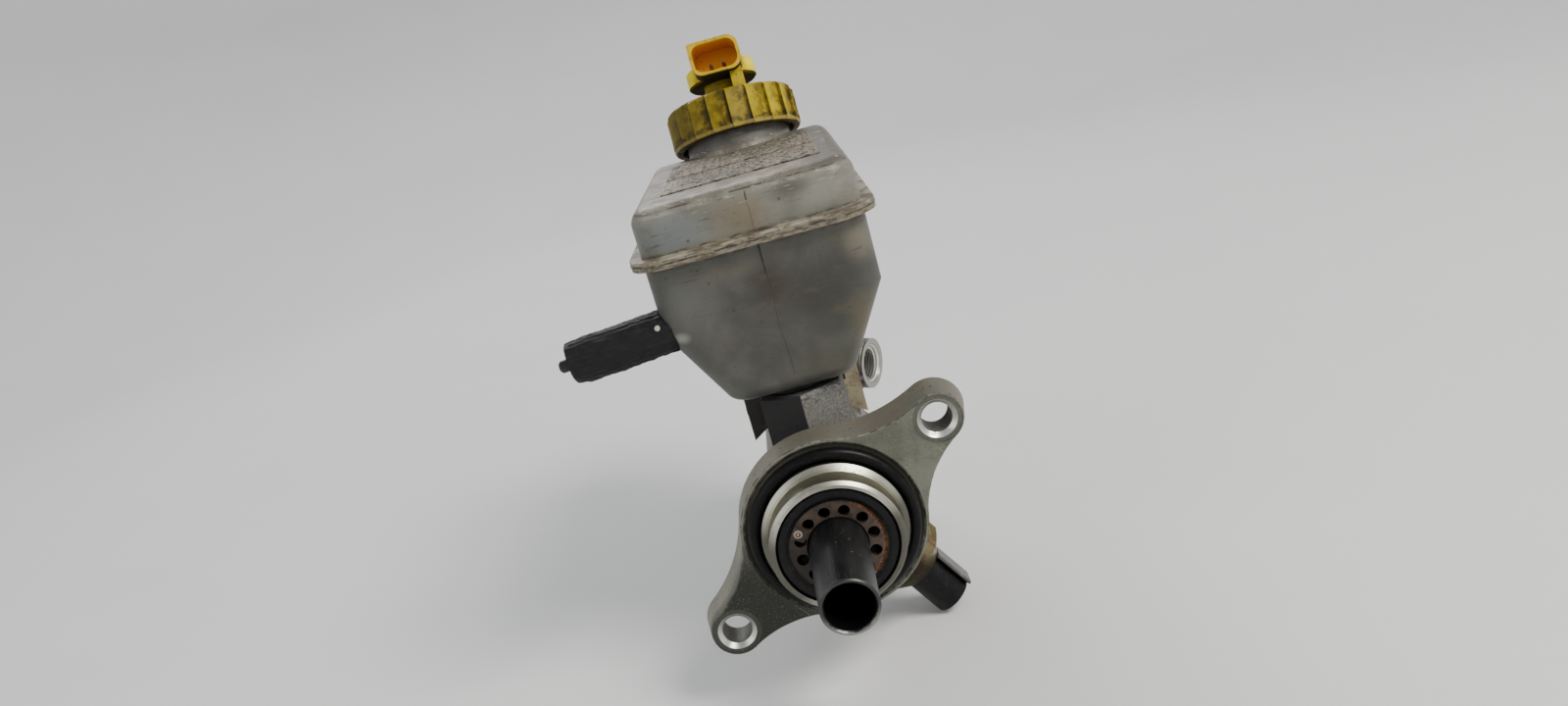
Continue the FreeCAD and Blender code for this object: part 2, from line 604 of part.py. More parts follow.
def hose_stub():
    """Short length of rubber hose, its root trimmed to the reservoir's rounded corner."""
    hose = hose_piece(turned([(HOSE_BORE_R, -4), (HOSE_R, -4), (HOSE_R, HOSE_LENGTH - 3.5),
                              (HOSE_R - 1.4, HOSE_LENGTH), (HOSE_BORE_R, HOSE_LENGTH)], AXIS_Z))
    return hose.cut(lower_block(-0.1, SEAM_Z, CORNER_R, LOWER_EDGE_R))


def hose_plug():
    """Blanking plug in the hose's open end."""
    return hose_piece(turned([(0, 20), (HOSE_BORE_R - 0.02, 20), (HOSE_BORE_R - 0.02, HOSE_LENGTH - 0.6),
                              (1.8, HOSE_LENGTH - 0.6), (1.8, HOSE_LENGTH + 2.6),
                              (1.2, HOSE_LENGTH + 3.2), (0, HOSE_LENGTH + 3.2)], AXIS_Z))


# ---- pressure sensor ----------------------------------------------------------------------------
def sensor_hex_base():
    """Hexagonal steel base with its threaded shank, in the body's boss."""
    taper = Part.makeCone(17.0, 7.0, 10.0, Vector(0, 0, SENSOR_NECK - 10.0), AXIS_Z)
    bevelled = hexagon(12.7, SENSOR_SEAT + 0.02, SENSOR_NECK).common(taper.fuse(post(14, 20, 29)))
    shank = post(4.95, 14.5, SENSOR_SEAT + 1)
    return on_sensor_axis(bevelled.fuse(shank).removeSplitter())


def sensor_washer():
    return on_sensor_axis(post(8.5, SENSOR_SEAT - 0.98, SENSOR_SEAT).cut(post(5.1, 20, 30)))


def sensor_connector():
    """Round connector body with a latch rail on a web and an open socket."""
    body = post(SENSOR_R, SENSOR_NECK, SENSOR_END)
    rail = box(-7.6, -6.6, -3.4, 3.4, SENSOR_NECK, SENSOR_END)
    rail = rail.makeFillet(0.3, [e for e in rail.Edges if e.BoundBox.XMax < -7.5])
    web = box(-7.5, -5.0, -1.6, 1.6, SENSOR_NECK, SENSOR_END)
    socket = post(SENSOR_SOCKET_R, SENSOR_END - 9.5, SENSOR_END + 1)
    return on_sensor_axis(body.multiFuse([rail, web]).cut(socket).removeSplitter())


def sensor_pins():
    pins = [box(x - 0.4, x + 0.4, -0.8, 0.8, SENSOR_END - 9.5, SENSOR_END - 5) for x in (-2.2, 0, 2.2)]
    return on_sensor_axis(Part.makeCompound(pins))


# ---- filler cap and level switch ----------------------------------------------------------------
def cap_ring():
    """Screw ring with saw-tooth grip panels and a lip round its lower edge."""
    panels = []
    for i in range(GRIP_COUNT):
        for r, turn in ((GRIP_ROOT_R, 0.0), (GRIP_CREST_R, 0.9)):
            a = math.radians(360 * i / GRIP_COUNT + turn)
            panels.append(Vector(r * math.cos(a), r * math.sin(a), 0.6))
    grip = prism(panels, Vector(0, 0, RING_H - 0.6))
    crown = turned([(0, 0), (GRIP_CREST_R, 0), (GRIP_CREST_R, RING_H - 1.2),
                    (GRIP_CREST_R - 1.2, RING_H), (0, RING_H)], AXIS_Z)
    lip = turned([(0, 0), (RING_R - 0.3, 0), (RING_R, 0.3), (RING_R, 1.5), (0, 1.5)], AXIS_Z)
    shell = grip.common(crown).fuse(lip)
    hollow = post(19.9, -1, RING_H - 1.6).fuse(post(7.4, 0, RING_H + 1))
    ridge = helical_ridge(19.9, -1.2, 3.0, 1.5, 270)
    return on_cap_axis(shell.cut(hollow).fuse(ridge).removeSplitter())


def shroud_outline(half_w, low, high, corner, key):
    """Connector outline seen along the mouth: rounded, with one square upper corner."""
    c = corner
    k = c * (1 - math.sqrt(0.5))

    def arc(a, b, d):
        return Part.Arc(Vector(a[0], 0, a[1]), Vector(b[0], 0, b[1]), Vector(d[0], 0, d[1])).toShape()

    def side(a, b):
        return Part.makeLine(Vector(a[0], 0, a[1]), Vector(b[0], 0, b[1]))

    w = half_w
    edges = [side((-w + c, low), (w - c, low)), arc((w - c, low), (w - k, low + k), (w, low + c)),
             side((w, low + c), (w, high - c)), arc((w, high - c), (w - k, high - k), (w - c, high)),
             side((w - c, high), (-w + key, high)),
             arc((-w + key, high), (-w + key * 0.293, high - key * 0.293), (-w, high - key)),
             side((-w, high - key), (-w, low + c)), arc((-w, low + c), (-w + k, low + k), (-w + c, low))]
    return Part.Wire(edges)


def cap_insert():
    """Fixed centre of the cap: sealing flange, stem, hub and connector."""
    low = HUB_HIGH - 6.35
    core = turned([(0, 9.4), (13.0, 9.4), (13.0, 11.02), (17.4, 11.02), (17.4, 11.8), (7.0, 11.8),
                   (7.0, HUB_LOW), (HUB_R - 0.6, HUB_LOW), (HUB_R, HUB_LOW + 0.6),
                   (HUB_R, HUB_HIGH - 0.8), (HUB_R - 0.8, HUB_HIGH), (0, HUB_HIGH)], AXIS_Z)
    outer = Part.Face(shroud_outline(SHROUD_W / 2, low, low + SHROUD_H, 3.8, 0.9))
    outer = outer.extrude(Vector(0, -SHROUD_REACH, 0))
    mouth = Part.Face(shroud_outline(SHROUD_W / 2 - SHROUD_WALL, low + SHROUD_WALL,
                                     low + SHROUD_H - SHROUD_WALL, 3.3, 3.2))
    mouth.translate(Vector(0, -SHROUD_REACH + 11.5, 0))
    socket = mouth.extrude(Vector(0, -14, 0))
    back = drum(5.6, 0, 6, z=low + 5.75)
    web = box(3.4, 7.6, -15.0, -4.0, RING_H + 0.3, low + 0.9)
    throat = post(2.0, 0, 11.5)
    insert = core.multiFuse([outer, back, web]).cut([socket, throat] + contact_blades(0.02))
    return on_cap_axis(insert.removeSplitter())


def contact_blades(play):
    """Two flat contacts, grown by the play around them."""
    z = HUB_HIGH - 2.6
    w, t = 0.6 + play, 0.3 + play
    return [box(x - w, x + w, -15, -6.0 + play, z - t, z + t) for x in (-2.2, 2.2)]


def contact_pins():
    return on_cap_axis(Part.makeCompound(contact_blades(0)))


def cap_gasket():
    return on_cap_axis(post(17.6, NECK_TOP + 0.03, 11.0).cut(post(13.9, 9, 12)))


def float_stem():
    """Closed tube that hangs from the insert, with a collar above and a clip below the float."""
    tube = post(4.0, -STEM_LENGTH, 9.38).cut(post(1.9, -STEM_LENGTH + 2, 10))
    float_top = FLOAT_REST + FLOAT_H + FLOAT_TRAVEL
    collar = post(5.4, float_top + 0.1, float_top + 1.6)
    foot = turned([(0, -STEM_LENGTH), (5.2, -STEM_LENGTH), (5.2, FLOAT_REST - 0.1),
                   (3.9, FLOAT_REST - 0.1), (3.9, -STEM_LENGTH + 0.5), (0, -STEM_LENGTH + 0.5)], AXIS_Z)
    bore = post(1.9, -STEM_LENGTH + 2, 10)
    return on_cap_axis(tube.multiFuse([collar, foot]).cut(bore).removeSplitter())


def reed_switch():
    """Glass reed switch and its leads inside the stem."""
    return on_cap_axis(post(1.1, -34, -18).fuse(post(0.3, -36, 9)))


def level_float():
    outer = turned([(4.4, FLOAT_REST), (10.4, FLOAT_REST), (11.0, FLOAT_REST + 0.6),
                    (11.0, FLOAT_REST + FLOAT_H - 0.6), (10.4, FLOAT_REST + FLOAT_H),
                    (4.4, FLOAT_REST + FLOAT_H)], AXIS_Z)
    pocket = post(7.0, FLOAT_REST + FLOAT_H - 4, FLOAT_REST + FLOAT_H + 1)
    return on_cap_axis(outer.cut(pocket))


def float_magnet():
    top = FLOAT_REST + FLOAT_H
    return on_cap_axis(post(6.95, top - 3.95, top - 0.5).cut(post(4.4, top - 5, top + 1)))


NODES = {
    "cylinder_body": cylinder_body(),
    "flange_o_ring": flange_o_ring(),
    "support_ring": support_ring(),
    "guide_disc": guide_disc(),
    "circlip": circlip(),
    "vacuum_seal": vacuum_seal(),
    "primary_piston": primary_piston(),
    "primary_rear_cup": cup(0.52, 2.4),
    "primary_cup_washer": cup_washer(22.42),
    "primary_main_cup": cup(22.85, 2.1),
    "captive_screw": captive_screw(),
    "spring_sleeve": spring_sleeve(),
    "primary_spring": coil(SPRING_MEAN_R, SPRING_WIRE_R, PRIMARY_FRONT + 0.02, 56.78, SPRING_TURNS),
    "floating_piston": floating_piston(),
    "floating_rear_cup": cup(59.02, 2.1),
    "floating_cup_washer": cup_washer(82.62),
    "floating_main_cup": cup(83.05, 2.1),
    "secondary_spring": coil(SPRING_MEAN_R, SPRING_WIRE_R, FLOATING_FRONT + 0.02, 116.78, SPRING_TURNS),
    "secondary_spring_seat": secondary_spring_seat(),
    "stop_pin": stop_pin(),
    "reservoir_lower_shell": reservoir_lower_shell(),
    "reservoir_upper_shell": reservoir_upper_shell(),
    "reservoir_grommets": grommets(),
    "reservoir_pin": reservoir_pin(),
    "filler_strainer": filler_strainer(),
    "hose_stub": hose_stub(),
    "hose_plug": hose_plug(),
    "sensor_hex_base": sensor_hex_base(),
    "sensor_washer": sensor_washer(),
    "sensor_connector": sensor_connector(),
    "sensor_pins": sensor_pins(),
    "cap_ring": cap_ring(),
    "cap_insert": cap_insert(),
    "cap_gasket": cap_gasket(),
    "contact_pins": contact_pins(),
    "float_stem": float_stem(),
    "reed_switch": reed_switch(),
    "level_float": level_float(),
    "float_magnet": float_magnet(),
}

for node, shape in NODES.items():
    save(node, shape)
    print(node, "solids", len(shape.Solids), "volume", round(shape.Volume), "valid", shape.isValid())
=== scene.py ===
import json
import math
import random

import bpy
from mathutils import Matrix, Vector, noise


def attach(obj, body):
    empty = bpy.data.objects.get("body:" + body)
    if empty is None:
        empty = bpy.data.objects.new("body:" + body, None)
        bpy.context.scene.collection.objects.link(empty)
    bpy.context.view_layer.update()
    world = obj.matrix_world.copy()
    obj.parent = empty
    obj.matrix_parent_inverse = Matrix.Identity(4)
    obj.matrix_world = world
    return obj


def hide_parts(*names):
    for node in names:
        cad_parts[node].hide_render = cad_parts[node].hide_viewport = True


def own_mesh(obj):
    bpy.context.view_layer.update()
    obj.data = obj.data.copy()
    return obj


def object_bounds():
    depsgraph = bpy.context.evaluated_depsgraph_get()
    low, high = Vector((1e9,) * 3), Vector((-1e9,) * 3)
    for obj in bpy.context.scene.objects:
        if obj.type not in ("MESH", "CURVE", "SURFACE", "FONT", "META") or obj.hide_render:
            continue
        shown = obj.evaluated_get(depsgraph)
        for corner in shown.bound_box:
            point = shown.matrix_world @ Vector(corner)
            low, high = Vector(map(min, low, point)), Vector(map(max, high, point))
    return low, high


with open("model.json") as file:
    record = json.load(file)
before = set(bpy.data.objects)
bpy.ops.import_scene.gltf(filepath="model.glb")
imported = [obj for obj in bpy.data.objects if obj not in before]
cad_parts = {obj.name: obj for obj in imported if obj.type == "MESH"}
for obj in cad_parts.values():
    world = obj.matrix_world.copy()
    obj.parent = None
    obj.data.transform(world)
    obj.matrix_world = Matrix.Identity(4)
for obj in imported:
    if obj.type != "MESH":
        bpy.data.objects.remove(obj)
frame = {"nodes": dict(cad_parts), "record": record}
cad_bounds = [list(v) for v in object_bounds()]
MM = 0.001

# The row frame has +Y along the bore and +Z up to the reservoir. Places are in millimetres.
CAP_BASE = Vector((0, 112, 98.2))
CAP_LEAN = math.radians(17.5)
BOLTS = [(34.82, 23.49), (-34.82, -23.49)]
FRONT_PORT = Vector((23.9, 68, 21.7))
FRONT_PORT_AXIS = Vector((0.863, -0.497, -0.09)).normalized()
REAR_PORT_TURN = math.radians(-50)
REAR_PORT_AXIS = Vector((math.cos(REAR_PORT_TURN), 0, math.sin(REAR_PORT_TURN)))
REAR_PORT = REAR_PORT_AXIS * 26 + Vector((0, 109, 0))
HOSE_ROOT, HOSE_LENGTH = Vector((-30.0, 20, 62.1)), 30.1
HOSE_AXIS = Vector((-30.1, 0, -2.07)).normalized()

# Sizes of the CAD part that the detail pieces follow, in millimetres
TANK_X, TANK_HALF_W, TANK_FOOT_HALF_W = -0.7, 31.3, 17.9
TANK_BOTTOM, SHOULDER_Z, TANK_CORNER_R = 37.6, 61.0, 8.0
TANK_FRONT, SEAM_Z, SEAM_HALF_W = 12.0, 82.6, 34.6
DECK_TOP, PAD_HALF_W = 97.7, 22.4
HOSE_BORE_R, HOSE_SKIN_R = 4.62, 6.42
GRIPS, GRIP_CREST_R = 20, 22.46
PORT_THREAD_R, PORT_THREAD_PITCH = 5.45, 1.0
BARREL_SIDE = 17.45

X, Y, Z = Vector((1, 0, 0)), Vector((0, 1, 0)), Vector((0, 0, 1))


# ---- camera, stage and light --------------------------------------------------------------------
def make_camera():
    """Looks along the bore from above, rolled as the part lies."""
    azimuth, elevation, roll = (math.radians(a) for a in (-2.26, -16.32, -15.76))
    forward = Vector((math.sin(azimuth) * math.cos(elevation), math.cos(azimuth) * math.cos(elevation),
                      math.sin(elevation)))
    right = forward.cross(Z).normalized()
    up = right.cross(forward)
    rolled_right = right * math.cos(roll) + up * math.sin(roll)
    rolled_up = up * math.cos(roll) - right * math.sin(roll)
    data = bpy.data.cameras.new("camera")
    data.lens, data.sensor_width = 26.55, 36
    data.clip_start, data.clip_end = 0.01, 20
    camera = bpy.data.objects.new("camera", data)
    camera.matrix_world = Matrix((rolled_right, rolled_up, -forward)).transposed().to_4x4()
    camera.location = Vector((11.12, -293.94, 138.91)) * MM
    bpy.context.scene.collection.objects.link(camera)
    bpy.context.scene.camera = camera


def area_light(name, at, aim, size, power, colour):
    data = bpy.data.lights.new(name, "AREA")
    data.shape, data.size, data.energy, data.color = "DISK", size, power, colour
    lamp = bpy.data.objects.new(name, data)
    lamp.location = at
    lamp.rotation_euler = (Vector(aim) - Vector(at)).to_track_quat("-Z", "Y").to_euler()
    bpy.context.scene.collection.objects.link(lamp)


def make_lights():
    world = bpy.data.worlds.new("studio")
    bpy.context.scene.world = world
    world.use_nodes = True
    background = world.node_tree.nodes["Background"]
    background.inputs["Color"].default_value = (0.88, 0.93, 1.0, 1)
    background.inputs["Strength"].default_value = 0.34
    aim = (0, 0.05, 0.03)
    area_light("key", (0.75, -0.5, 0.95), aim, 0.55, 17, (1.0, 0.97, 0.93))
    area_light("fill", (-0.95, -0.55, 0.55), aim, 0.9, 2.4, (0.92, 0.96, 1.0))
    area_light("back", (-0.3, 1.0, 0.9), aim, 0.6, 7, (1.0, 1.0, 1.0))


def make_stage():
    """Pale floor that curves up into a wall all round, so that no edge shows."""
    lowest = cad_bounds[0][2] - 0.0002
    flat, bend, top, around = 1.0, 0.6, 1.5, 96
    profile = [(0.0, 0.0), (0.35, 0.0), (flat, 0.0)]
    for i in range(1, 13):
        a = math.pi / 2 * i / 12
        profile.append((flat + bend * math.sin(a), bend - bend * math.cos(a)))
    profile.append((flat + bend, top))
    angles = [2 * math.pi * j / around for j in range(around)]
    verts = [(r * math.cos(a), 0.05 + r * math.sin(a), lowest + h) for r, h in profile[1:] for a in angles]
    verts.append((0, 0.05, lowest))
    centre = len(verts) - 1
    faces = [(j, (j + 1) % around, centre) for j in range(around)]
    for i in range(len(profile) - 2):
        for j in range(around):
            a, b = i * around + j, i * around + (j + 1) % around
            faces.append((b, a, a + around, b + around))
    mesh = bpy.data.meshes.new("stage")
    mesh.from_pydata(verts, [], faces)
    for face in mesh.polygons:
        face.use_smooth = True
    stage = bpy.data.objects.new("stage", mesh)
    bpy.context.scene.collection.objects.link(stage)
    paper = Shader("backdrop_paper", 0.8)
    shade = paper.noise(90, 2, 0.5)
    paper.colour(paper.mix(shade, srgb(223, 223, 223), srgb(229, 229, 228)))
    paper.bump([(paper.noise(2.5, 2, 0.5), 0.05)])
    mesh.materials.append(paper.material)


# ---- shader building ----------------------------------------------------------------------------
def srgb(r, g, b):
    def channel(v):
        v = v / 255
        return v / 12.92 if v <= 0.04045 else ((v + 0.055) / 1.055) ** 2.4
    return (channel(r), channel(g), channel(b), 1.0)


class Shader:
    """One procedural material. Lengths are in millimetres of the object's own space."""

    def __init__(self, name, roughness, metallic=0.0, **constants):
        self.material = bpy.data.materials.new(name)
        self.material.use_nodes = True
        self.tree = self.material.node_tree
        self.bsdf = self.tree.nodes["Principled BSDF"]
        self.bsdf.inputs["Roughness"].default_value = roughness
        self.bsdf.inputs["Metallic"].default_value = metallic
        for socket, value in constants.items():
            self.bsdf.inputs[socket.replace("_", " ")].default_value = value
        coordinates = self.tree.nodes.new("ShaderNodeTexCoord")
        self.p = self.vector("MULTIPLY", coordinates.outputs["Object"], (1000, 1000, 1000))
        self.x, self.y, self.z = self.split(self.p)
        self.nx, self.ny, self.nz = self.split(coordinates.outputs["Normal"])

    def put(self, socket, value):
        if isinstance(value, bpy.types.NodeSocket):
            self.tree.links.new(value, socket)
        else:
            socket.default_value = value

    def vector(self, operation, a, b=(0, 0, 0)):
        node = self.tree.nodes.new("ShaderNodeVectorMath")
        node.operation = operation
        self.put(node.inputs[0], a)
        self.put(node.inputs[1], b)
        return node.outputs["Value" if operation in ("LENGTH", "DOT_PRODUCT") else "Vector"]

    def split(self, v):
        node = self.tree.nodes.new("ShaderNodeSeparateXYZ")
        self.put(node.inputs[0], v)
        return tuple(node.outputs)

    def join(self, x, y, z):
        node = self.tree.nodes.new("ShaderNodeCombineXYZ")
        for socket, value in zip(node.inputs, (x, y, z)):
            self.put(socket, value)
        return node.outputs[0]

    def math(self, operation, a, b=0.0):
        node = self.tree.nodes.new("ShaderNodeMath")
        node.operation = operation
        self.put(node.inputs[0], a)
        self.put(node.inputs[1], b)
        return node.outputs[0]

    def add(self, a, b):
        return self.math("ADD", a, b)

    def mul(self, a, b):
        return self.math("MULTIPLY", a, b)

    def inv(self, a):
        return self.math("SUBTRACT", 1.0, a)

    def step(self, value, low, high):
        """0 below low, 1 above high, smooth between; it falls instead where low is the larger."""
        node = self.tree.nodes.new("ShaderNodeMapRange")
        node.interpolation_type = "SMOOTHSTEP"
        rising = low <= high
        self.put(node.inputs["Value"], value)
        self.put(node.inputs["From Min"], min(low, high))
        self.put(node.inputs["From Max"], max(low, high))
        self.put(node.inputs["To Min"], 0.0 if rising else 1.0)
        self.put(node.inputs["To Max"], 1.0 if rising else 0.0)
        return node.outputs["Result"]

    def within(self, value, low, high, edge):
        return self.mul(self.step(value, low - edge, low), self.step(value, high + edge, high))

    def noise(self, size, detail=2.0, roughness=0.5, stretch=(1, 1, 1), distortion=0.0, where=None):
        node = self.tree.nodes.new("ShaderNodeTexNoise")
        source = self.p if where is None else where
        if stretch != (1, 1, 1):
            source = self.vector("MULTIPLY", source, stretch)
        self.put(node.inputs["Vector"], source)
        node.inputs["Scale"].default_value = 1 / size
        node.inputs["Detail"].default_value = detail
        node.inputs["Roughness"].default_value = roughness
        node.inputs["Distortion"].default_value = distortion
        return node.outputs["Fac"]

    def cells(self, size, feature="F1", stretch=(1, 1, 1), output="Distance"):
        node = self.tree.nodes.new("ShaderNodeTexVoronoi")
        node.feature = feature
        self.put(node.inputs["Vector"], self.vector("MULTIPLY", self.p, stretch))
        node.inputs["Scale"].default_value = 1 / size
        return node.outputs[output]

    def specks(self, size, share, stretch=(1, 1, 1)):
        """Scattered round specks of about a third of size, in that share of the cells."""
        dots = self.step(self.cells(size, stretch=stretch), 0.28, 0.12)
        chosen = self.split(self.cells(size, stretch=stretch, output="Color"))[0]
        return self.mul(dots, self.step(chosen, share + 0.01, share))

    def near(self, centre, radii):
        """1 at a point, falling to 0 on an ellipsoid round it."""
        offset = self.vector("DIVIDE", self.vector("SUBTRACT", self.p, centre), radii)
        return self.step(self.vector("LENGTH", offset), 1.0, 0.1)

    def zones(self, base, table):
        """Lays patches of (centre, radii, share, colour) over a base colour."""
        for centre, radii, share, tint in table:
            base = self.mix(self.mul(self.near(centre, radii), share), base, srgb(*tint))
        return base

    def radius(self, base, axis):
        """Distance from a line, and position along it."""
        offset = self.vector("SUBTRACT", self.p, tuple(base))
        lengthways = self.vector("DOT_PRODUCT", offset, tuple(axis))
        total = self.vector("LENGTH", offset)
        across = self.math("SUBTRACT", self.mul(total, total), self.mul(lengthways, lengthways))
        return self.math("SQRT", self.math("MAXIMUM", across, 0.0)), lengthways

    def mix(self, share, a, b):
        node = self.tree.nodes.new("ShaderNodeMix")
        node.data_type = "RGBA"
        self.put(node.inputs[0], share)
        self.put(node.inputs[6], a)
        self.put(node.inputs[7], b)
        return node.outputs[2]

    def paint(self, base, mask, share, tint):
        """Lays a colour over base where the mask is 1, no thicker than share."""
        return self.mix(self.mul(mask, share), base, tint)

    def blend(self, share, a, b):
        """Number a where share is 0, b where it is 1."""
        node = self.tree.nodes.new("ShaderNodeMix")
        node.data_type = "FLOAT"
        self.put(node.inputs[0], share)
        self.put(node.inputs[2], a)
        self.put(node.inputs[3], b)
        return node.outputs[0]

    def colour(self, value):
        self.put(self.bsdf.inputs["Base Color"], value)

    def roughness(self, value):
        self.put(self.bsdf.inputs["Roughness"], value)

    def metallic(self, value):
        self.put(self.bsdf.inputs["Metallic"], value)

    def bump(self, heights):
        """Adds up (pattern, height in mm) pairs as one relief."""
        total = None
        for pattern, height in heights:
            part = self.mul(pattern, height)
            total = part if total is None else self.add(total, part)
        node = self.tree.nodes.new("ShaderNodeBump")
        node.inputs["Strength"].default_value = 1.0
        node.inputs["Distance"].default_value = MM
        self.put(node.inputs["Height"], total)
        self.put(self.bsdf.inputs["Normal"], node.outputs[0])


# ---- materials ----------------------------------------------------------------------------------
def cast_aluminium():
    """Greenish as-cast alloy with a brown film, and bright turned or drilled faces."""
    s = Shader("cast_aluminium", 0.5, 0.7)
    grain = s.noise(0.55, 3, 0.65)
    cloud = s.noise(14, 4, 0.6)

    # cast walls and the milled flange face
    wall_tone = s.mix(s.step(cloud, 0.32, 0.68), srgb(112, 111, 100), srgb(138, 136, 124))
    front = s.mul(s.step(s.math("MULTIPLY", s.ny, -1.0), 0.9, 0.97), s.step(s.y, 0.8, 0.4))
    face_tone = s.mix(s.step(cloud, 0.36, 0.64), srgb(96, 99, 87), srgb(122, 124, 111))
    shaded = s.step(s.add(s.x, s.mul(s.z, 0.9)), -14, -40)
    face_tone = s.paint(face_tone, shaded, 0.9, srgb(44, 44, 39))
    base = s.mix(front, wall_tone, face_tone)
    base = s.paint(base, s.mul(shaded, s.step(s.y, 4, 1)), 0.5, srgb(36, 36, 32))
    base = s.paint(base, s.step(grain, 0.55, 0.7), 0.3, srgb(160, 160, 148))
    chips = s.mul(s.specks(0.8, 0.22), s.step(s.noise(5, 3, 0.6), 0.42, 0.6))
    base = s.paint(base, chips, 0.6, srgb(168, 165, 150))
    pits = s.math("MAXIMUM", s.specks(2.2, 0.1), s.specks(0.9, 0.16))
    base = s.paint(base, pits, 0.75, srgb(42, 42, 37))

    # brown film on the flange's edge, grime further back
    film = s.mul(s.step(s.noise(7, 5, 0.68), 0.4, 0.62), s.within(s.y, 0.2, 12, 1.5))
    film = s.mul(s.mul(film, s.step(s.z, 6, 24)), s.inv(s.mul(front, 0.85)))
    base = s.paint(base, film, 0.6, srgb(112, 99, 84))
    grime = s.mul(s.step(s.noise(6, 5, 0.7), 0.46, 0.68), s.step(s.y, 12, 18))
    base = s.paint(base, grime, 0.75, srgb(60, 57, 48))

    # nicked rim and scratches on the flange face
    rim = s.mul(s.mul(s.step(s.ny, -0.35, -0.5), s.step(s.ny, -0.96, -0.9)), s.step(s.y, 0.8, 0.6))
    rim = s.mul(rim, s.step(s.noise(4, 4, 0.7), 0.44, 0.56))
    base = s.paint(base, rim, 0.7, srgb(48, 47, 41))
    from_ear = s.vector("LENGTH", s.join(s.add(s.x, 24), 0.0, s.add(s.z, 30)))
    arc = s.step(s.noise(0.5, 2, 0.5, where=s.join(from_ear, 0.0, s.mul(s.x, 0.02))), 0.66, 0.7)
    base = s.paint(base, s.mul(arc, front), 0.45, srgb(158, 160, 148))

    # turned spigot with its tarnished groove, and the seat of the O-ring
    spigot_r = s.radius((0, 0, 0), Y)[0]
    turned = s.mul(s.step(spigot_r, 21.4, 21.0), s.step(s.y, 0.2, -0.2))
    seat = s.mul(s.step(spigot_r, 25.2, 24.9), s.within(s.y, -0.2, 1.2, 0.2))
    rings = s.noise(0.35, 2, 0.6, where=s.join(spigot_r, s.y, 0.0))
    bright = s.mix(rings, srgb(150, 149, 136), srgb(206, 204, 190))
    tarnish = s.mix(s.noise(5, 3, 0.6), srgb(148, 146, 126), srgb(176, 173, 152))
    machined = s.mix(s.within(s.y, -10.9, -4.25, 0.12), bright, tarnish)
    machined = s.mix(s.step(s.y, -3.4, -3.0), machined, srgb(96, 94, 84))
    machined = s.paint(machined, s.step(s.noise(3, 4, 0.7), 0.6, 0.72), 0.5, srgb(104, 99, 82))
    # painted reflection: the turned spigot's lower half is darkened as if it mirrored a dark floor, except
    # near one spot at its lower left
    lower_half_dark_reflection = s.mul(s.step(s.z, 11, 3), s.inv(s.near((-8, -8, -18), (13, 14, 8))))
    machined = s.paint(machined, lower_half_dark_reflection, 0.9, s.mix(rings, srgb(56, 56, 50), srgb(92, 91, 82)))
    base = s.mix(seat, base, srgb(84, 82, 72))
    base = s.mix(turned, base, machined)

    # spot faces, chamfers and drilled walls of the two bolt holes
    smooth = turned
    marks = [(s.mul(rings, turned), 0.02)]
    for x, z in BOLTS:
        r = s.radius((x, 0, z), Y)[0]
        face = s.mul(s.step(r, 7.05, 6.95), s.step(s.y, 0.6, 0.35))
        cone = s.mul(s.step(r, 5.6, 5.5), s.step(s.y, 1.7, 1.5))
        drill = s.mul(s.step(r, 4.6, 4.4), s.step(s.y, 1.4, 1.6))
        groove = s.noise(0.3, 1, 0.5, where=s.join(r, s.mul(s.y, 0.6), 0.0))
        base = s.paint(base, face, 0.6, s.mix(groove, srgb(62, 63, 58), srgb(104, 104, 98)))
        base = s.mix(cone, base, s.mix(groove, srgb(200, 200, 192), srgb(236, 236, 230)))
        # painted shade: the drilled wall deep in each hole is darkened
        base = s.paint(base, drill, 0.8, srgb(92, 92, 88))
        smooth = s.math("MAXIMUM", smooth, s.math("MAXIMUM", s.mul(face, 0.6), cone))
        marks.append((s.mul(groove, s.math("MAXIMUM", face, cone)), 0.03))

    # pipe ports: machined mouths, threads painted brighter than the mouths as painted light, and painted
    # shade in the thread roots
    lined = 0.0
    for at, axis in ((FRONT_PORT, FRONT_PORT_AXIS), (REAR_PORT, REAR_PORT_AXIS)):
        r, depth = s.radius(at, axis)
        mouth = s.mul(s.step(r, 8.6, 8.4), s.step(depth, -0.9, -0.6))
        inside = s.mul(s.step(r, 6.2, 6.0), s.step(depth, -12.5, -12.0))
        mouth = s.math("MAXIMUM", mouth, inside)
        base = s.mix(mouth, base, s.mix(s.noise(0.7, 2), srgb(142, 142, 134), srgb(172, 172, 163)))
        # painted light: the threaded inside is painted brighter than the mouth
        base = s.mix(inside, base, srgb(214, 213, 205))
        # painted shade: the thread roots are painted near-black
        thread_root_shade = s.mul(s.within(s.math("FRACT", s.add(depth, 20.4)), 0.35, 0.65, 0.15), inside)
        thread_root_shade = s.mul(thread_root_shade, s.mul(s.step(depth, -0.7, -1.0), s.step(r, 6.1, 5.3)))
        base = s.paint(base, thread_root_shade, 0.9, srgb(24, 24, 23))
        smooth = s.math("MAXIMUM", smooth, mouth)
        lined = s.math("MAXIMUM", lined, inside)

    # hexagonal front inlet boss, crusted at its top, with painted shade making its left-facing faces black
    boss = s.mul(s.step(s.z, 18.5, 20.5), s.within(s.y, 10.8, 40, 0.2))
    shade_painted_faces = s.mul(boss, s.step(s.nx, 0.1, -0.1))
    crust = s.step(s.noise(0.7, 4, 0.75), 0.36, 0.66)
    base = s.paint(base, boss, 0.8, s.mix(crust, srgb(92, 92, 89), srgb(134, 133, 128)))
    scale = s.mul(s.mul(boss, s.step(s.noise(0.9, 5, 0.8), 0.5, 0.6)), s.step(s.z, 28, 34))
    base = s.paint(base, scale, 0.75, srgb(52, 52, 50))
    base = s.mix(s.mul(boss, s.step(s.nx, 0.75, 0.9)), base, srgb(66, 64, 60))
    # painted shade: the boss's left-facing faces are painted near-black
    base = s.paint(base, shade_painted_faces, 0.97, srgb(8, 8, 8))
    s.colour(base)

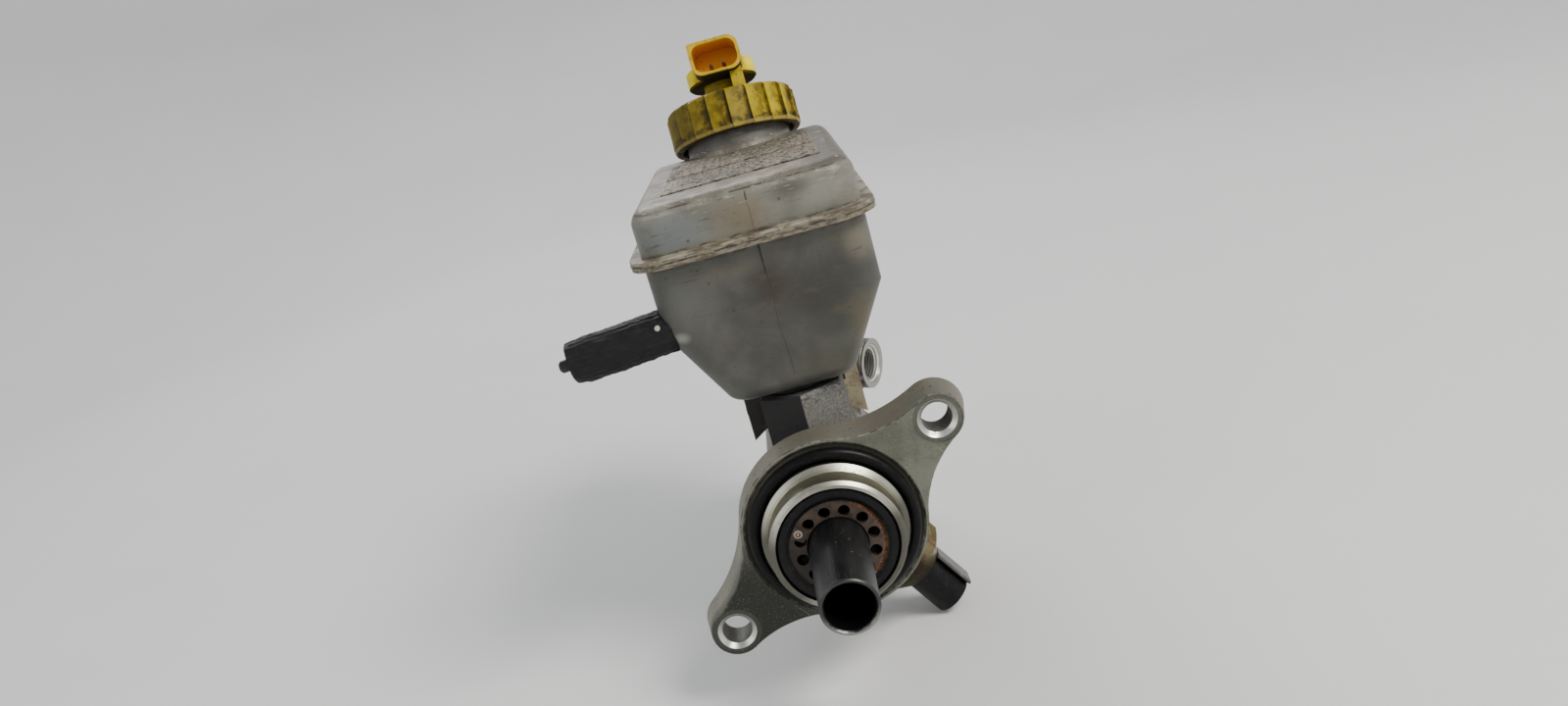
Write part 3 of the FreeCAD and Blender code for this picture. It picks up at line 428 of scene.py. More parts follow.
    shine = s.mul(s.blend(smooth, 0.5, 0.95), s.inv(s.mul(shade_painted_faces, 0.8)))
    s.metallic(s.mul(shine, s.inv(s.mul(lined, 0.6))))
    s.roughness(s.math("MAXIMUM", s.blend(smooth, s.blend(cloud, 0.48, 0.66), 0.34), s.mul(shade_painted_faces, 0.7)))
    cast = s.inv(smooth)
    s.bump(marks + [(s.mul(grain, cast), 0.12), (s.mul(s.noise(2.4, 3, 0.6), cast), 0.2),
                    (s.mul(s.mul(crust, boss), 1.0), 0.08), (pits, -0.08)])
    return s.material


def seal_rubber():
    s = Shader("seal_rubber", 0.4, IOR=1.5, Specular_IOR_Level=0.15)
    dust = s.step(s.noise(1.6, 4, 0.7), 0.55, 0.75)
    s.colour(s.mix(s.mul(dust, 0.35), srgb(13, 13, 14), srgb(52, 51, 49)))
    s.roughness(s.blend(dust, 0.36, 0.6))
    s.bump([(s.noise(0.5, 2, 0.5), 0.015)])
    return s.material


def black_nylon():
    s = Shader("black_nylon", 0.42, Specular_IOR_Level=0.2)
    dust = s.step(s.noise(3.5, 4, 0.7), 0.5, 0.72)
    scratch = s.step(s.noise(0.6, 2, 0.5, stretch=(3, 0.3, 0.5)), 0.66, 0.7)
    base = s.mix(s.mul(dust, 0.4), srgb(12, 12, 13), srgb(40, 39, 37))
    sideways = s.add(s.mul(s.x, 0.839), s.mul(s.z, 0.545))
    # painted highlight: the sensor's side rail is painted light grey, varied by dust
    rail_highlight = s.mul(s.step(sideways, 6.75, 6.95), s.step(s.z, -18, -20))
    base = s.paint(base, rail_highlight, 0.9, s.mix(dust, srgb(92, 92, 90), srgb(128, 127, 123)))
    s.colour(s.paint(base, scratch, 0.3, srgb(84, 84, 84)))
    s.roughness(s.blend(dust, 0.36, 0.6))
    s.bump([(s.noise(0.4, 2, 0.5), 0.02), (scratch, 0.02)])
    return s.material


def copper_disc():
    """Tarnished copper, dark at its lower left, scraped to streaks at its right-hand edge."""
    s = Shader("copper_disc", 0.45, 0.5)
    r = s.radius((0, 0, 0), Y)[0]
    shade = s.step(s.add(s.mul(s.x, 0.7), s.z), 5, -9)
    patina = s.noise(2.6, 4, 0.65)
    base = s.mix(s.step(patina, 0.35, 0.65), srgb(62, 54, 48), srgb(86, 73, 62))
    base = s.paint(base, shade, 0.85, srgb(33, 28, 26))
    base = s.paint(base, s.specks(0.9, 0.25), 0.5, srgb(48, 38, 32))
    turn = s.math("ARCTAN2", s.z, s.x)
    streak = s.noise(0.02, 1, 0.5, where=s.join(turn, 0.0, 0.0))
    wear_and_highlight = s.mul(s.step(r, 11.9, 12.6), s.step(s.x, 4.5, 7.5))
    base = s.mix(wear_and_highlight, base, s.mix(s.step(streak, 0.48, 0.54), srgb(14, 12, 11), srgb(150, 100, 64)))
    rivet = s.mul(s.near((-9.6, -12, 6.5), (1.9, 1.9, 1.9)), s.step(s.y, -11.3, -11.5))
    from_rivet = s.vector("LENGTH", s.vector("SUBTRACT", s.p, (-9.6, -12, 6.5)))
    burr = s.math("MAXIMUM", s.within(from_rivet, 0.85, 1.2, 0.15), s.step(from_rivet, 0.45, 0.25))
    base = s.paint(base, rivet, 0.9, s.mix(burr, srgb(82, 64, 54), srgb(222, 206, 190)))
    hem = s.mul(s.step(s.nz, -0.4, -0.7), s.step(s.y, -11.3, -11.4))
    base = s.mix(hem, base, srgb(208, 196, 182))
    s.colour(base)
    s.roughness(s.blend(patina, 0.35, 0.6))
    s.bump([(s.noise(0.5, 3, 0.6), 0.03)])
    return s.material


def steel(name, dark, light, roughness, metallic=0.95, streak=(1, 1, 1)):
    """Plain metal with a soft mottle and fine working marks."""
    s = Shader(name, roughness, metallic)
    mottle = s.noise(1.8, 4, 0.65, stretch=streak)
    s.colour(s.mix(s.step(mottle, 0.3, 0.7), srgb(*dark), srgb(*light)))
    s.roughness(s.blend(mottle, roughness - 0.08, roughness + 0.14))
    s.bump([(s.noise(0.25, 2, 0.5, stretch=streak), 0.01)])
    return s.material


def dark_piston():
    """Hard-anodised push tube: gunmetal, bright with wear at its mouth, with painted shade making it
    near-black inside.
    """
    s = Shader("dark_piston", 0.36, 0.75)
    r = s.radius((0, 0, 0), Y)[0]
    mottle = s.noise(7, 4, 0.6, stretch=(1, 0.5, 1))
    base = s.mix(s.step(mottle, 0.3, 0.7), srgb(33, 34, 36), srgb(56, 56, 57))
    fleck = s.mul(s.specks(1.7, 0.1), 0.7)
    base = s.mix(fleck, base, srgb(150, 148, 142))
    scratch = s.step(s.noise(0.9, 3, 0.6, stretch=(1.5, 0.12, 1.5)), 0.62, 0.68)
    base = s.paint(base, scratch, 0.3, srgb(112, 112, 112))
    wear = s.mul(s.step(s.y, -43.6, -44.9), s.step(s.add(r, s.mul(s.noise(1.2, 3), 0.8)), 6.9, 7.3))
    base = s.mix(wear, base, s.mix(s.step(s.z, 0, -6), srgb(64, 64, 63), srgb(128, 126, 121)))
    # painted shade: the inside of the tube is painted near-black
    bore_shade = s.mul(s.step(r, 6.62, 6.5), s.step(s.y, -44.7, -44.2))
    base = s.mix(bore_shade, base, srgb(14, 14, 15))
    s.colour(base)
    s.roughness(s.add(s.blend(mottle, 0.3, 0.46), s.mul(bore_shade, 0.2)))
    s.bump([(s.noise(0.5, 3, 0.6, stretch=(1, 0.25, 1)), 0.02), (scratch, -0.015)])
    return s.material


def tank_plastic():
    """Milky polyolefin gone grey, with brake-fluid smoke inside, grime on its deck and seam."""
    s = Shader("tank_plastic", 0.4, IOR=1.5, Subsurface_Weight=0.16, Subsurface_Scale=0.003)
    smoke = s.noise(26, 4, 0.58, distortion=0.8)
    fine = s.noise(6, 5, 0.65)
    low = s.mix(s.step(smoke, 0.34, 0.64), srgb(58, 58, 53), srgb(78, 78, 71))
    high = s.mix(s.step(smoke, 0.34, 0.64), srgb(102, 101, 91), srgb(120, 119, 109))
    base = s.mix(s.step(s.z, 81, 84), low, high)
    base = s.zones(base, (
        ((13, 12, 62), (17, 34, 17), 0.85, (44, 43, 36)),
        ((0, 10, 69), (10, 14, 12), 0.85, (44, 37, 26)),
        ((-22, 16, 70), (13, 30, 15), 0.7, (88, 89, 82)),
        ((-10, 12, 76), (16, 20, 5), 0.5, (96, 92, 80)),
        ((27, 12, 75), (8, 30, 9), 0.7, (108, 103, 88)),
        ((10, 12, 44), (22, 30, 7), 0.7, (62, 62, 50)),
        ((24, 12, 52), (8, 30, 12), 0.7, (88, 80, 58)),
        # painted highlight: pale spot on the rounded corner beside the hose
        ((-27, 13, 60.5), (3.5, 5, 2.4), 0.8, (140, 140, 132)),
        ((-21, 12, 89), (14, 34, 9), 0.8, (100, 106, 108)),
        ((21, 12, 90), (11, 34, 8), 0.7, (134, 132, 120)),
        ((-2, 10, 89), (12, 20, 9), 0.75, (112, 99, 78)),
        ((12, 12, 93), (9, 14, 4), 0.75, (70, 66, 58))))
    stain = s.step(s.noise(9, 5, 0.7, stretch=(0.8, 1, 1.6)), 0.5, 0.72)
    base = s.paint(base, stain, 0.4, srgb(84, 75, 60))

    # hairline cracks in the middle of the front wall
    front = s.step(s.y, 13.2, 12.4)
    crack = s.mul(front, s.within(s.add(s.x, s.mul(s.noise(5, 2), 0.8)), 0.55, 0.8, 0.22))
    crack = s.mul(crack, s.math("MAXIMUM", s.within(s.z, 73, 80, 1.5), s.within(s.z, 93, 96, 0.6)))
    base = s.paint(base, crack, 0.8, srgb(38, 34, 28))

    # weld seam between the shells
    seam = s.within(s.z, 80.7, 84.3, 0.4)
    lines = s.noise(0.8, 4, 0.7, stretch=(0.3, 0.3, 1))
    seam_colour = s.mix(s.step(lines, 0.4, 0.6), srgb(80, 70, 53), srgb(132, 124, 104))
    base = s.paint(base, seam, 0.85, seam_colour)
    gutter = s.math("MAXIMUM", s.within(s.z, 79.9, 80.9, 0.3), s.within(s.z, 84.1, 84.7, 0.3))
    base = s.paint(base, s.mul(gutter, s.step(fine, 0.42, 0.6)), 0.7, srgb(54, 47, 37))
    wander = s.add(s.z, s.mul(s.noise(9, 3, 0.6), 0.9))
    broken = s.step(s.noise(5, 3, 0.6, stretch=(1, 1, 0.1)), 0.4, 0.5)
    joint = s.mul(s.within(wander, 82.9, 83.15, 0.12), broken)
    base = s.paint(base, joint, 0.85, srgb(30, 25, 20))
    lit = s.mul(s.within(s.z, 83.5, 84.1, 0.15), s.step(s.noise(7, 3, 0.6), 0.45, 0.6))
    base = s.paint(base, lit, 0.6, srgb(178, 170, 150))

    # deck: dust, two textured pads, and nicks along its front edge
    deck = s.mul(s.step(s.z, 94.8, 97.0), s.inv(s.step(s.y, 92, 110)))
    dusty = s.mix(s.step(s.noise(5, 5, 0.7), 0.4, 0.65), srgb(96, 89, 77), srgb(144, 137, 123))
    dusty = s.paint(dusty, s.step(s.x, 12, 22), 0.9, srgb(76, 70, 61))
    base = s.paint(base, deck, 0.9, dusty)
    pads = s.math("MAXIMUM", s.within(s.y, 29, 56, 0.4), s.within(s.y, 59, 90, 0.4))
    pads = s.mul(pads, s.mul(s.step(s.math("ABSOLUTE", s.x), 23.4, 23.0), s.step(s.z, 97.2, 97.5)))
    rubbed = s.step(s.add(s.x, s.mul(s.noise(9, 4, 0.6), 22)), -2, -9)
    pads = s.mul(pads, s.inv(s.mul(rubbed, s.mul(s.step(s.y, 57, 56), 0.85))))
    speckle = s.step(s.noise(1.5, 4, 0.8), 0.43, 0.54)
    base = s.mix(pads, base, s.mix(speckle, srgb(38, 32, 26), srgb(134, 126, 109)))
    rim = s.math("MAXIMUM", s.within(s.y, 28.4, 30.2, 0.4), s.within(s.y, 55.0, 56.4, 0.4))
    rim = s.math("MAXIMUM", rim, s.within(s.y, 88.6, 90.6, 0.4))
    dash = s.step(s.noise(1.3, 4, 0.7, stretch=(0.4, 1, 1)), 0.48, 0.54)
    base = s.mix(s.mul(s.mul(rim, dash), s.mul(deck, 0.85)), base, srgb(34, 29, 25))
    pale = s.mul(s.within(s.y, 56.6, 58.6, 0.4), s.mul(deck, s.step(s.math("ABSOLUTE", s.x), 24, 22)))
    base = s.paint(base, pale, 0.7, srgb(176, 170, 156))

    nicks = s.mul(s.within(s.z, 95.75, 95.95, 0.15), s.mul(dash, s.step(s.y, 24, 20)))
    base = s.paint(base, nicks, 0.8, srgb(38, 32, 27))
    polished = s.mul(s.within(s.z, 94.7, 95.2, 0.4), s.step(s.noise(4, 4, 0.7), 0.44, 0.6))
    base = s.paint(base, polished, 0.3, srgb(172, 168, 155))

    # neck under the cap, legs, dirt and scratches
    neck = s.mul(s.step(s.y, 88, 96), s.step(s.z, 98.2, 99.2))
    base = s.paint(base, neck, 0.75, s.mix(fine, srgb(52, 51, 49), srgb(92, 90, 85)))
    base = s.mix(s.mul(neck, s.mul(s.step(s.x, 13, 18), 0.8)), base, srgb(66, 48, 33))
    leg = s.step(s.z, 37.4, 36.4)
    cream = s.mix(s.noise(6, 3), srgb(140, 131, 106), srgb(166, 158, 134))
    # painted shade: the leg is painted dark left of x -10 to -12
    base = s.mix(leg, base, s.mix(s.step(s.x, -10, -12), cream, srgb(34, 31, 27)))
    slot = s.mul(s.within(s.x, 13.0, 13.9, 0.1), s.within(s.z, 26.5, 35, 0.3))
    spots = s.mul(s.specks(1.5, 0.22), s.step(s.z, 24, 28))
    blotch = s.mul(s.step(s.noise(4, 4, 0.65), 0.45, 0.6), 0.6)
    base = s.mix(s.mul(s.mul(leg, s.step(s.x, 0, 1)), blotch), base, srgb(104, 86, 70))
    base = s.mix(s.mul(leg, s.math("MAXIMUM", slot, spots)), base, srgb(26, 22, 18))
    dirt_and_shade = s.math("MAXIMUM", s.specks(0.9, 0.05), s.mul(s.specks(2.2, 0.035), 0.8))
    base = s.paint(base, dirt_and_shade, 0.7, srgb(44, 39, 32))
    scratch = s.step(s.noise(1.1, 3, 0.55, stretch=(0.14, 0.3, 2.2), distortion=0.5), 0.655, 0.68)
    base = s.paint(base, scratch, 0.6, srgb(62, 56, 47))
    scuff = s.step(s.noise(1.0, 3, 0.6, stretch=(0.2, 0.3, 1.8), distortion=0.4), 0.36, 0.33)
    base = s.paint(base, s.mul(scuff, s.step(s.z, 90, 95)), 0.6, srgb(186, 183, 172))
    s.colour(base)
    s.roughness(s.blend(fine, 0.34, 0.58))
    s.bump([(s.noise(0.5, 2, 0.5), 0.015), (s.noise(12, 2, 0.5), 0.25), (scratch, -0.04), (dirt_and_shade, 0.04),
            (s.mul(lines, seam), 0.12), (s.mul(speckle, pads), 0.16), (crack, -0.15)])
    return s.material


def strainer_plastic():
    s = Shader("strainer_plastic", 0.45, Subsurface_Weight=0.2, Subsurface_Scale=0.003)
    stain = s.noise(8, 4, 0.6)
    s.colour(s.mix(s.step(stain, 0.4, 0.7), srgb(206, 204, 192), srgb(168, 154, 122)))
    s.roughness(s.blend(stain, 0.38, 0.6))
    s.bump([(s.noise(0.6, 2, 0.5), 0.02)])
    return s.material


def hose_rubber():
    """Textile-marked hose: faint lengthways ribs with dust between them."""
    s = Shader("hose_rubber", 0.62, Specular_IOR_Level=0.25)
    dust = s.step(s.noise(2.2, 5, 0.7, stretch=(0.5, 1, 1)), 0.48, 0.7)
    thread = s.noise(0.5, 2, 0.6, stretch=(1.6, 1, 1))
    base = s.mix(thread, srgb(12, 12, 13), srgb(26, 26, 26))
    s.colour(s.paint(base, dust, 0.45, srgb(46, 45, 43)))
    s.roughness(s.blend(dust, 0.55, 0.8))
    s.bump([(thread, 0.06), (s.noise(0.2, 2, 0.5), 0.02)])
    return s.material


def plain_plastic(name, dark, light, roughness, size=3.0, **constants):
    """Moulded plastic with a soft mottle and a fine grain."""
    s = Shader(name, roughness, **constants)
    mottle = s.noise(size, 4, 0.6)
    s.colour(s.mix(s.step(mottle, 0.35, 0.68), srgb(*dark), srgb(*light)))
    s.roughness(s.blend(mottle, roughness - 0.06, roughness + 0.12))
    s.bump([(s.noise(0.4, 2, 0.5), 0.02)])
    return s.material


def yellow_zinc():
    """Yellow-passivated steel with its green and pink sheen, dirty at the corners, with painted shade on
    its lower-left part.
    """
    s = Shader("yellow_zinc", 0.34, 0.85)
    film = s.noise(4.5, 3, 0.6, distortion=1.2)
    base = s.mix(s.step(film, 0.36, 0.5), srgb(112, 97, 66), srgb(132, 128, 84))
    base = s.mix(s.step(film, 0.52, 0.6), base, srgb(134, 98, 84))
    base = s.mix(s.step(film, 0.62, 0.72), base, srgb(96, 88, 62))
    dirt_and_shade = s.mul(s.step(s.noise(2.5, 4, 0.7), 0.52, 0.7), 0.6)
    sideways = s.add(s.mul(s.x, 0.839), s.mul(s.z, 0.545))
    # painted shade: the hex's lower-left part is painted dark on top of the dirt
    dirt_and_shade = s.math("MAXIMUM", dirt_and_shade, s.mul(s.step(sideways, 8.5, 3.5), 0.9))
    s.colour(s.mix(dirt_and_shade, base, srgb(40, 36, 30)))
    s.roughness(s.blend(dirt_and_shade, 0.28, 0.62))
    s.bump([(s.noise(0.6, 3, 0.6), 0.03)])
    return s.material


def yellow_cap():
    """Yellow cap plastic: olive and grimy on the ring's grips, brighter on the hub, amber inside; painted
    shade and highlights on the ring, painted light in the socket, painted shade under the connector.
    """
    s = Shader("yellow_cap", 0.46, IOR=1.5, Subsurface_Weight=0.06, Subsurface_Scale=0.002,
               Specular_IOR_Level=0.15)
    lean = (0, math.sin(CAP_LEAN), math.cos(CAP_LEAN))
    offset = s.vector("SUBTRACT", s.p, tuple(CAP_BASE))
    height = s.vector("DOT_PRODUCT", offset, lean)
    across = s.vector("DOT_PRODUCT", offset, (0, math.cos(CAP_LEAN), -math.sin(CAP_LEAN)))
    r = s.vector("LENGTH", s.join(s.x, across, 0.0))
    turn = s.mul(s.math("ARCTAN2", across, s.x), GRIPS / (2 * math.pi))
    panel = s.math("FRACT", s.add(turn, GRIPS))
    root = s.math("MAXIMUM", s.step(panel, 0.8, 1.0), s.step(panel, 0.05, 0.0))
    crest = s.mul(s.step(panel, 0.03, 0.06), s.step(panel, 0.75, 0.08))

    # ring: panels between the grips, dirty at their feet, with painted shade on the ring's left and a
    # painted highlight fading across each panel
    mottle = s.noise(5, 4, 0.62)
    fresh = s.mix(s.step(mottle, 0.3, 0.7), srgb(208, 184, 8), srgb(240, 222, 24))
    olive = s.mix(s.step(mottle, 0.38, 0.62), srgb(72, 60, 14), srgb(136, 117, 24))
    lit = s.mix(s.step(mottle, 0.35, 0.62), srgb(106, 87, 16), srgb(176, 154, 28))
    ring = s.mul(s.step(height, 14.4, 13.2), s.step(r, 19.0, 20.0))
    # painted light: the ring takes a darker olive copy on its left and a lit copy on its right
    base = s.mix(ring, fresh, s.mix(s.step(s.x, 2, 16), olive, lit))
    # painted shade on the ring's far left
    base = s.paint(base, s.mul(ring, s.step(s.x, -8, -22)), 0.6, srgb(78, 70, 32))
    smears = s.step(s.noise(3.2, 5, 0.72, distortion=0.8), 0.48, 0.64)
    base = s.paint(base, s.mul(smears, ring), 0.6, srgb(66, 52, 18))
    # painted highlight: brightest near the left edge of each panel and fading across it, dimmer on the
    # ring's left
    wear_and_highlight = s.mix(s.step(s.x, -12, 12), srgb(126, 108, 20), srgb(204, 180, 34))
    base = s.paint(base, s.mul(crest, ring), 0.5, wear_and_highlight)
    soil = s.mul(root, s.mul(ring, s.step(s.noise(2.2, 3, 0.6), 0.25, 0.5)))
    base = s.paint(base, soil, 0.75, srgb(52, 43, 22))
    lip = s.mul(s.within(s.add(height, s.mul(mottle, 3.0)), 3.0, 4.2, 1.2), ring)
    base = s.paint(base, s.mul(lip, s.step(s.noise(2.6, 4, 0.7), 0.4, 0.6)), 0.8, srgb(56, 46, 22))
    edge = s.mul(s.within(height, 0.4, 1.3, 0.4), ring)
    base = s.paint(base, edge, 0.5, srgb(150, 136, 74))
    under = s.mul(s.step(height, 0.4, 0.0), s.step(r, 24, 23))
    base = s.paint(base, under, 0.85, srgb(66, 50, 34))

    # connector: dull outside, amber socket painted brighter towards its bottom as painted light, painted
    # shade on its underside
    plug = s.step(height, 19.0, 20.0)
    outer = s.mul(plug, s.step(across, -7.0, -9.0))
    base = s.paint(base, outer, 0.7, s.mix(smears, srgb(178, 140, 20), srgb(96, 76, 30)))
    inside = s.mul(s.mul(s.step(across, -6.2, -6.4), s.step(s.math("ABSOLUTE", s.x), 7.62, 7.56)),
                   s.within(height, 21.16, 30.84, 0.06))
    # painted light: the socket's amber is painted brighter towards its bottom
    amber = s.mix(s.step(height, 31, 23), srgb(196, 124, 34), srgb(250, 194, 84))
    base = s.mix(inside, base, s.mix(s.step(across, -15.0, -17.8), amber, srgb(206, 168, 40)))
    shelf = s.mul(s.within(height, 11.0, 20.4, 0.4), s.step(r, 21.4, 21.0))
    web = s.mul(s.step(across, -3.9, -4.1), s.step(s.x, 3.2, 3.4))
    shelf = s.mul(shelf, s.inv(s.mul(web, s.step(height, 13.6, 13.8))))
    base = s.paint(base, shelf, 0.8, s.mix(smears, srgb(92, 78, 28), srgb(150, 130, 40)))
    foot = s.mul(s.mul(web, s.inv(ring)), s.within(height, 13.7, 20.2, 0.3))
    base = s.paint(base, foot, 0.75, s.mix(smears, srgb(160, 136, 36), srgb(112, 92, 34)))
    # painted shade: the connector's downward-facing faces are painted near-black
    shade_painted_faces = s.mul(s.step(s.nz, -0.25, -0.6), s.within(height, 13.8, 26, 0.5))
    base = s.paint(base, shade_painted_faces, 0.92, srgb(18, 15, 10))
    crud = s.mul(s.specks(1.3, 0.14), 0.6)
    base = s.mix(crud, base, srgb(46, 38, 22))
    s.colour(base)
    s.roughness(s.math("MAXIMUM", s.blend(smears, 0.42, 0.66), shade_painted_faces))
    s.bump([(s.noise(0.5, 2, 0.5), 0.02), (smears, 0.03), (s.mul(root, ring), -0.05)])
    return s.material


MATERIALS = {
    "cast_aluminium": cast_aluminium,
    "seal_rubber": seal_rubber,
    "black_nylon": black_nylon,
    "copper_disc": copper_disc,
    "spring_steel": lambda: steel("spring_steel", (92, 92, 94), (140, 140, 142), 0.3),
    "dark_piston": dark_piston,
    "alloy_piston": lambda: steel("alloy_piston", (150, 142, 112), (186, 178, 146), 0.34),
    "tank_plastic": tank_plastic,
    "strainer_plastic": strainer_plastic,
    "hose_rubber": hose_rubber,
    "plug_rubber": lambda: plain_plastic("plug_rubber", (24, 24, 24), (52, 52, 50), 0.6, 1.5),
    "yellow_zinc": yellow_zinc,
    "copper_washer": lambda: steel("copper_washer", (130, 84, 58), (172, 118, 82), 0.4),
    "contact_metal": lambda: steel("contact_metal", (84, 62, 46), (128, 104, 80), 0.4),
    "yellow_cap": yellow_cap,
    "stem_plastic": lambda: plain_plastic("stem_plastic", (36, 36, 36), (64, 64, 62), 0.5),
    "reed_glass": lambda: plain_plastic("reed_glass", (150, 176, 158), (196, 214, 200), 0.12,
                                        Transmission_Weight=0.7),
    "float_plastic": lambda: plain_plastic("float_plastic", (30, 30, 31), (58, 58, 58), 0.65, 1.2),
    "magnet": lambda: plain_plastic("magnet", (40, 40, 42), (70, 70, 72), 0.55, 1.0),
}
MATERIALS = {slot: make() for slot, make in MATERIALS.items()}


def dress_nodes():
    """Gives every CAD node the material of its slot in the record."""
    for part in frame["record"]["subparts"]:
        node = frame["nodes"][part["node"]]
        material = MATERIALS[part["material_slot"]]
        if not node.material_slots:
            node.data.materials.append(material)
        for slot in node.material_slots:
            slot.material = material


# ---- detail pieces ------------------------------------------------------------------------------
def piece(name, verts, faces, slot, body, smooth=True):
    """Mesh in millimetres of the row frame that rides on a body and takes a slot's material."""
    mesh = bpy.data.meshes.new(name)
    mesh.from_pydata([Vector(v) * MM for v in verts], [], faces)
    mesh.validate()
    for face in mesh.polygons:
        face.use_smooth = smooth
    mesh.materials.append(MATERIALS[slot])
    made = bpy.data.objects.new(name, mesh)
    bpy.context.scene.collection.objects.link(made)
    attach(made, body)
    return made


def basis(axis):
    """Two unit vectors across an axis."""
    side = axis.cross(Z if abs(axis.z) < 0.9 else X).normalized()
    return side, axis.cross(side)


def tube(rows, closed_ring=True, capped=True):
    """Skins rows of points into quads; capped closes the first and last row with a fan."""
    count = len(rows[0])
    verts = [p for row in rows for p in row]
    faces = []
    for i in range(len(rows) - 1):
        for j in range(count if closed_ring else count - 1):
            a, b = i * count + j, i * count + (j + 1) % count
            faces.append((a, b, b + count, a + count))
    if capped:
        faces.append(tuple(reversed(range(count))))
        faces.append(tuple(range((len(rows) - 1) * count, len(rows) * count)))
    return verts, faces


def helix(axis_at, axis, radius, start, pitch, turns, section, steps=48):
    """Sweeps a (radial, lengthways) section along a helix about an axis."""
    u, v = basis(axis)
    rows = []
    total = int(steps * turns)
    for i in range(total + 1):
        a = 2 * math.pi * i / steps
        fade = min(1.0, i / (steps * 0.4), (total - i) / (steps * 0.4))
        out = u * math.cos(a) + v * math.sin(a)
        centre = axis_at + axis * (start + pitch * i / steps)
        rows.append([centre + out * (radius + dr * fade) + axis * (da * max(fade, 0.05))
                     for dr, da in section])
    return tube(rows)


def port_threads():
    """Thread crests in both pipe ports, just proud of the drilled wall."""
    section = [(0.06, -0.46), (0.06, 0.46), (-0.62, 0.06), (-0.62, -0.06)]
    for name, at, axis in (("port_thread_front", FRONT_PORT, FRONT_PORT_AXIS),
                           ("port_thread_rear", REAR_PORT, REAR_PORT_AXIS)):
        verts, faces = helix(at, -axis, PORT_THREAD_R, 0.9, PORT_THREAD_PITCH, 9.6, section)
        piece(name, verts, faces, "cast_aluminium", "cylinder", smooth=False)


def tank_wall(y, z):
    """Where the reservoir's left side stands at a height, rounded at its front corner."""
    rise = min(1.0, (z - TANK_BOTTOM) / (SHOULDER_Z - TANK_BOTTOM))
    half = TANK_FOOT_HALF_W + (TANK_HALF_W - TANK_FOOT_HALF_W) * rise
    inward = TANK_FRONT + TANK_CORNER_R - y
    corner = TANK_CORNER_R - math.sqrt(TANK_CORNER_R ** 2 - inward ** 2) if inward > 0 else 0.0
    return TANK_X - half + corner


def rubber_hose():
    """Ribbed, slightly lumpy hose in place of its plain solid, trimmed to the reservoir's corner."""
    u, v = basis(HOSE_AXIS)
    around, steps = 144, 96

    def surface(a, t, r):
        out = u * math.cos(a) + v * math.sin(a)
        at = HOSE_ROOT + HOSE_AXIS * t + out * 6.2
        lump = 0.34 * noise.noise(at * 0.19) + 0.24 * noise.noise(at * 0.5) + 0.1 * noise.noise(at * 1.2)
        thread = 0.08 * math.cos(26 * a + 1.6 * noise.noise(Vector((t * 0.08, a, 0))))
        scar = 0.22 * max(0.0, noise.noise(at * 0.75) - 0.25)
        taper = 1.1 * max(0.0, (t - HOSE_LENGTH + 5.0) / 5.0) ** 1.6 * (0.8 + 0.5 * math.sin(a + 0.6))
        return HOSE_ROOT + HOSE_AXIS * t + out * (r + lump + thread - scar - taper)

    def ring(share, r, surfaced=True):
        points = []
        for j in range(around):
            a = 2 * math.pi * j / around
            out = u * math.cos(a) + v * math.sin(a)
            first = 0.0
            for _ in range(4):
                at = HOSE_ROOT + HOSE_AXIS * first + out * r
                first += at.x - tank_wall(at.y, at.z) + 0.12
            t = first + (HOSE_LENGTH - 0.5 - first) * share
            points.append(surface(a, t, r) if surfaced else HOSE_ROOT + HOSE_AXIS * t + out * r)
        return points

    rows = [ring(0, HOSE_BORE_R, False), ring(0, 5.6, False)]
    rows += [ring(i / steps, HOSE_SKIN_R) for i in range(steps + 1)]
    rows += [ring(1.0, 6.0), ring(1.0, 5.3, False)]
    rows += [ring(0.995, HOSE_BORE_R, False), ring(0.9, HOSE_BORE_R, False)]
    verts, faces = tube(rows, capped=False)
    hose = piece("ribbed_hose", verts, faces, "hose_rubber", "cylinder")
    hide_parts("hose_stub")
    speck = [surface(3.62 + 0.13 * math.cos(a), 2.6 + 0.8 * math.sin(a), 6.5)
             for a in (2 * math.pi * k / 10 for k in range(10))]
    crown = sum(speck, Vector()) / len(speck)
    crown += (crown - HOSE_ROOT - HOSE_AXIS * (crown - HOSE_ROOT).dot(HOSE_AXIS)).normalized() * 0.5
    piece("paint_speck", speck + [crown], [(k, (k + 1) % 10, 10) for k in range(10)],
          "strainer_plastic", "cylinder")


def springs():
    """Both return springs as fine coils."""
    wire, mean, turns, steps = 1.0, 8.7, 6.0, 40
    section = [(wire * math.cos(a), wire * math.sin(a)) for a in (2 * math.pi * k / 14 for k in range(14))]
    for name, node, low, high, body, anchor in (
            ("primary_return_spring", "primary_spring", 26.02, 56.78, "primary_group", 26.02),
            ("secondary_return_spring", "secondary_spring", 86.02, 116.78, "cylinder", 116.78)):
        rows = []
        for i in range(int(steps * turns) + 1):
            share = i / (steps * turns)
            a = 2 * math.pi * i / steps
            out = X * math.cos(a) + Z * math.sin(a)
            centre = Y * (low + wire + (high - low - 2 * wire) * share)
            rows.append([centre + out * (mean + dr) + Y * dy for dr, dy in section])
        verts, faces = tube(rows)
        coil = piece(name, verts, faces, "spring_steel", body)
        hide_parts(node)
        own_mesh(coil)


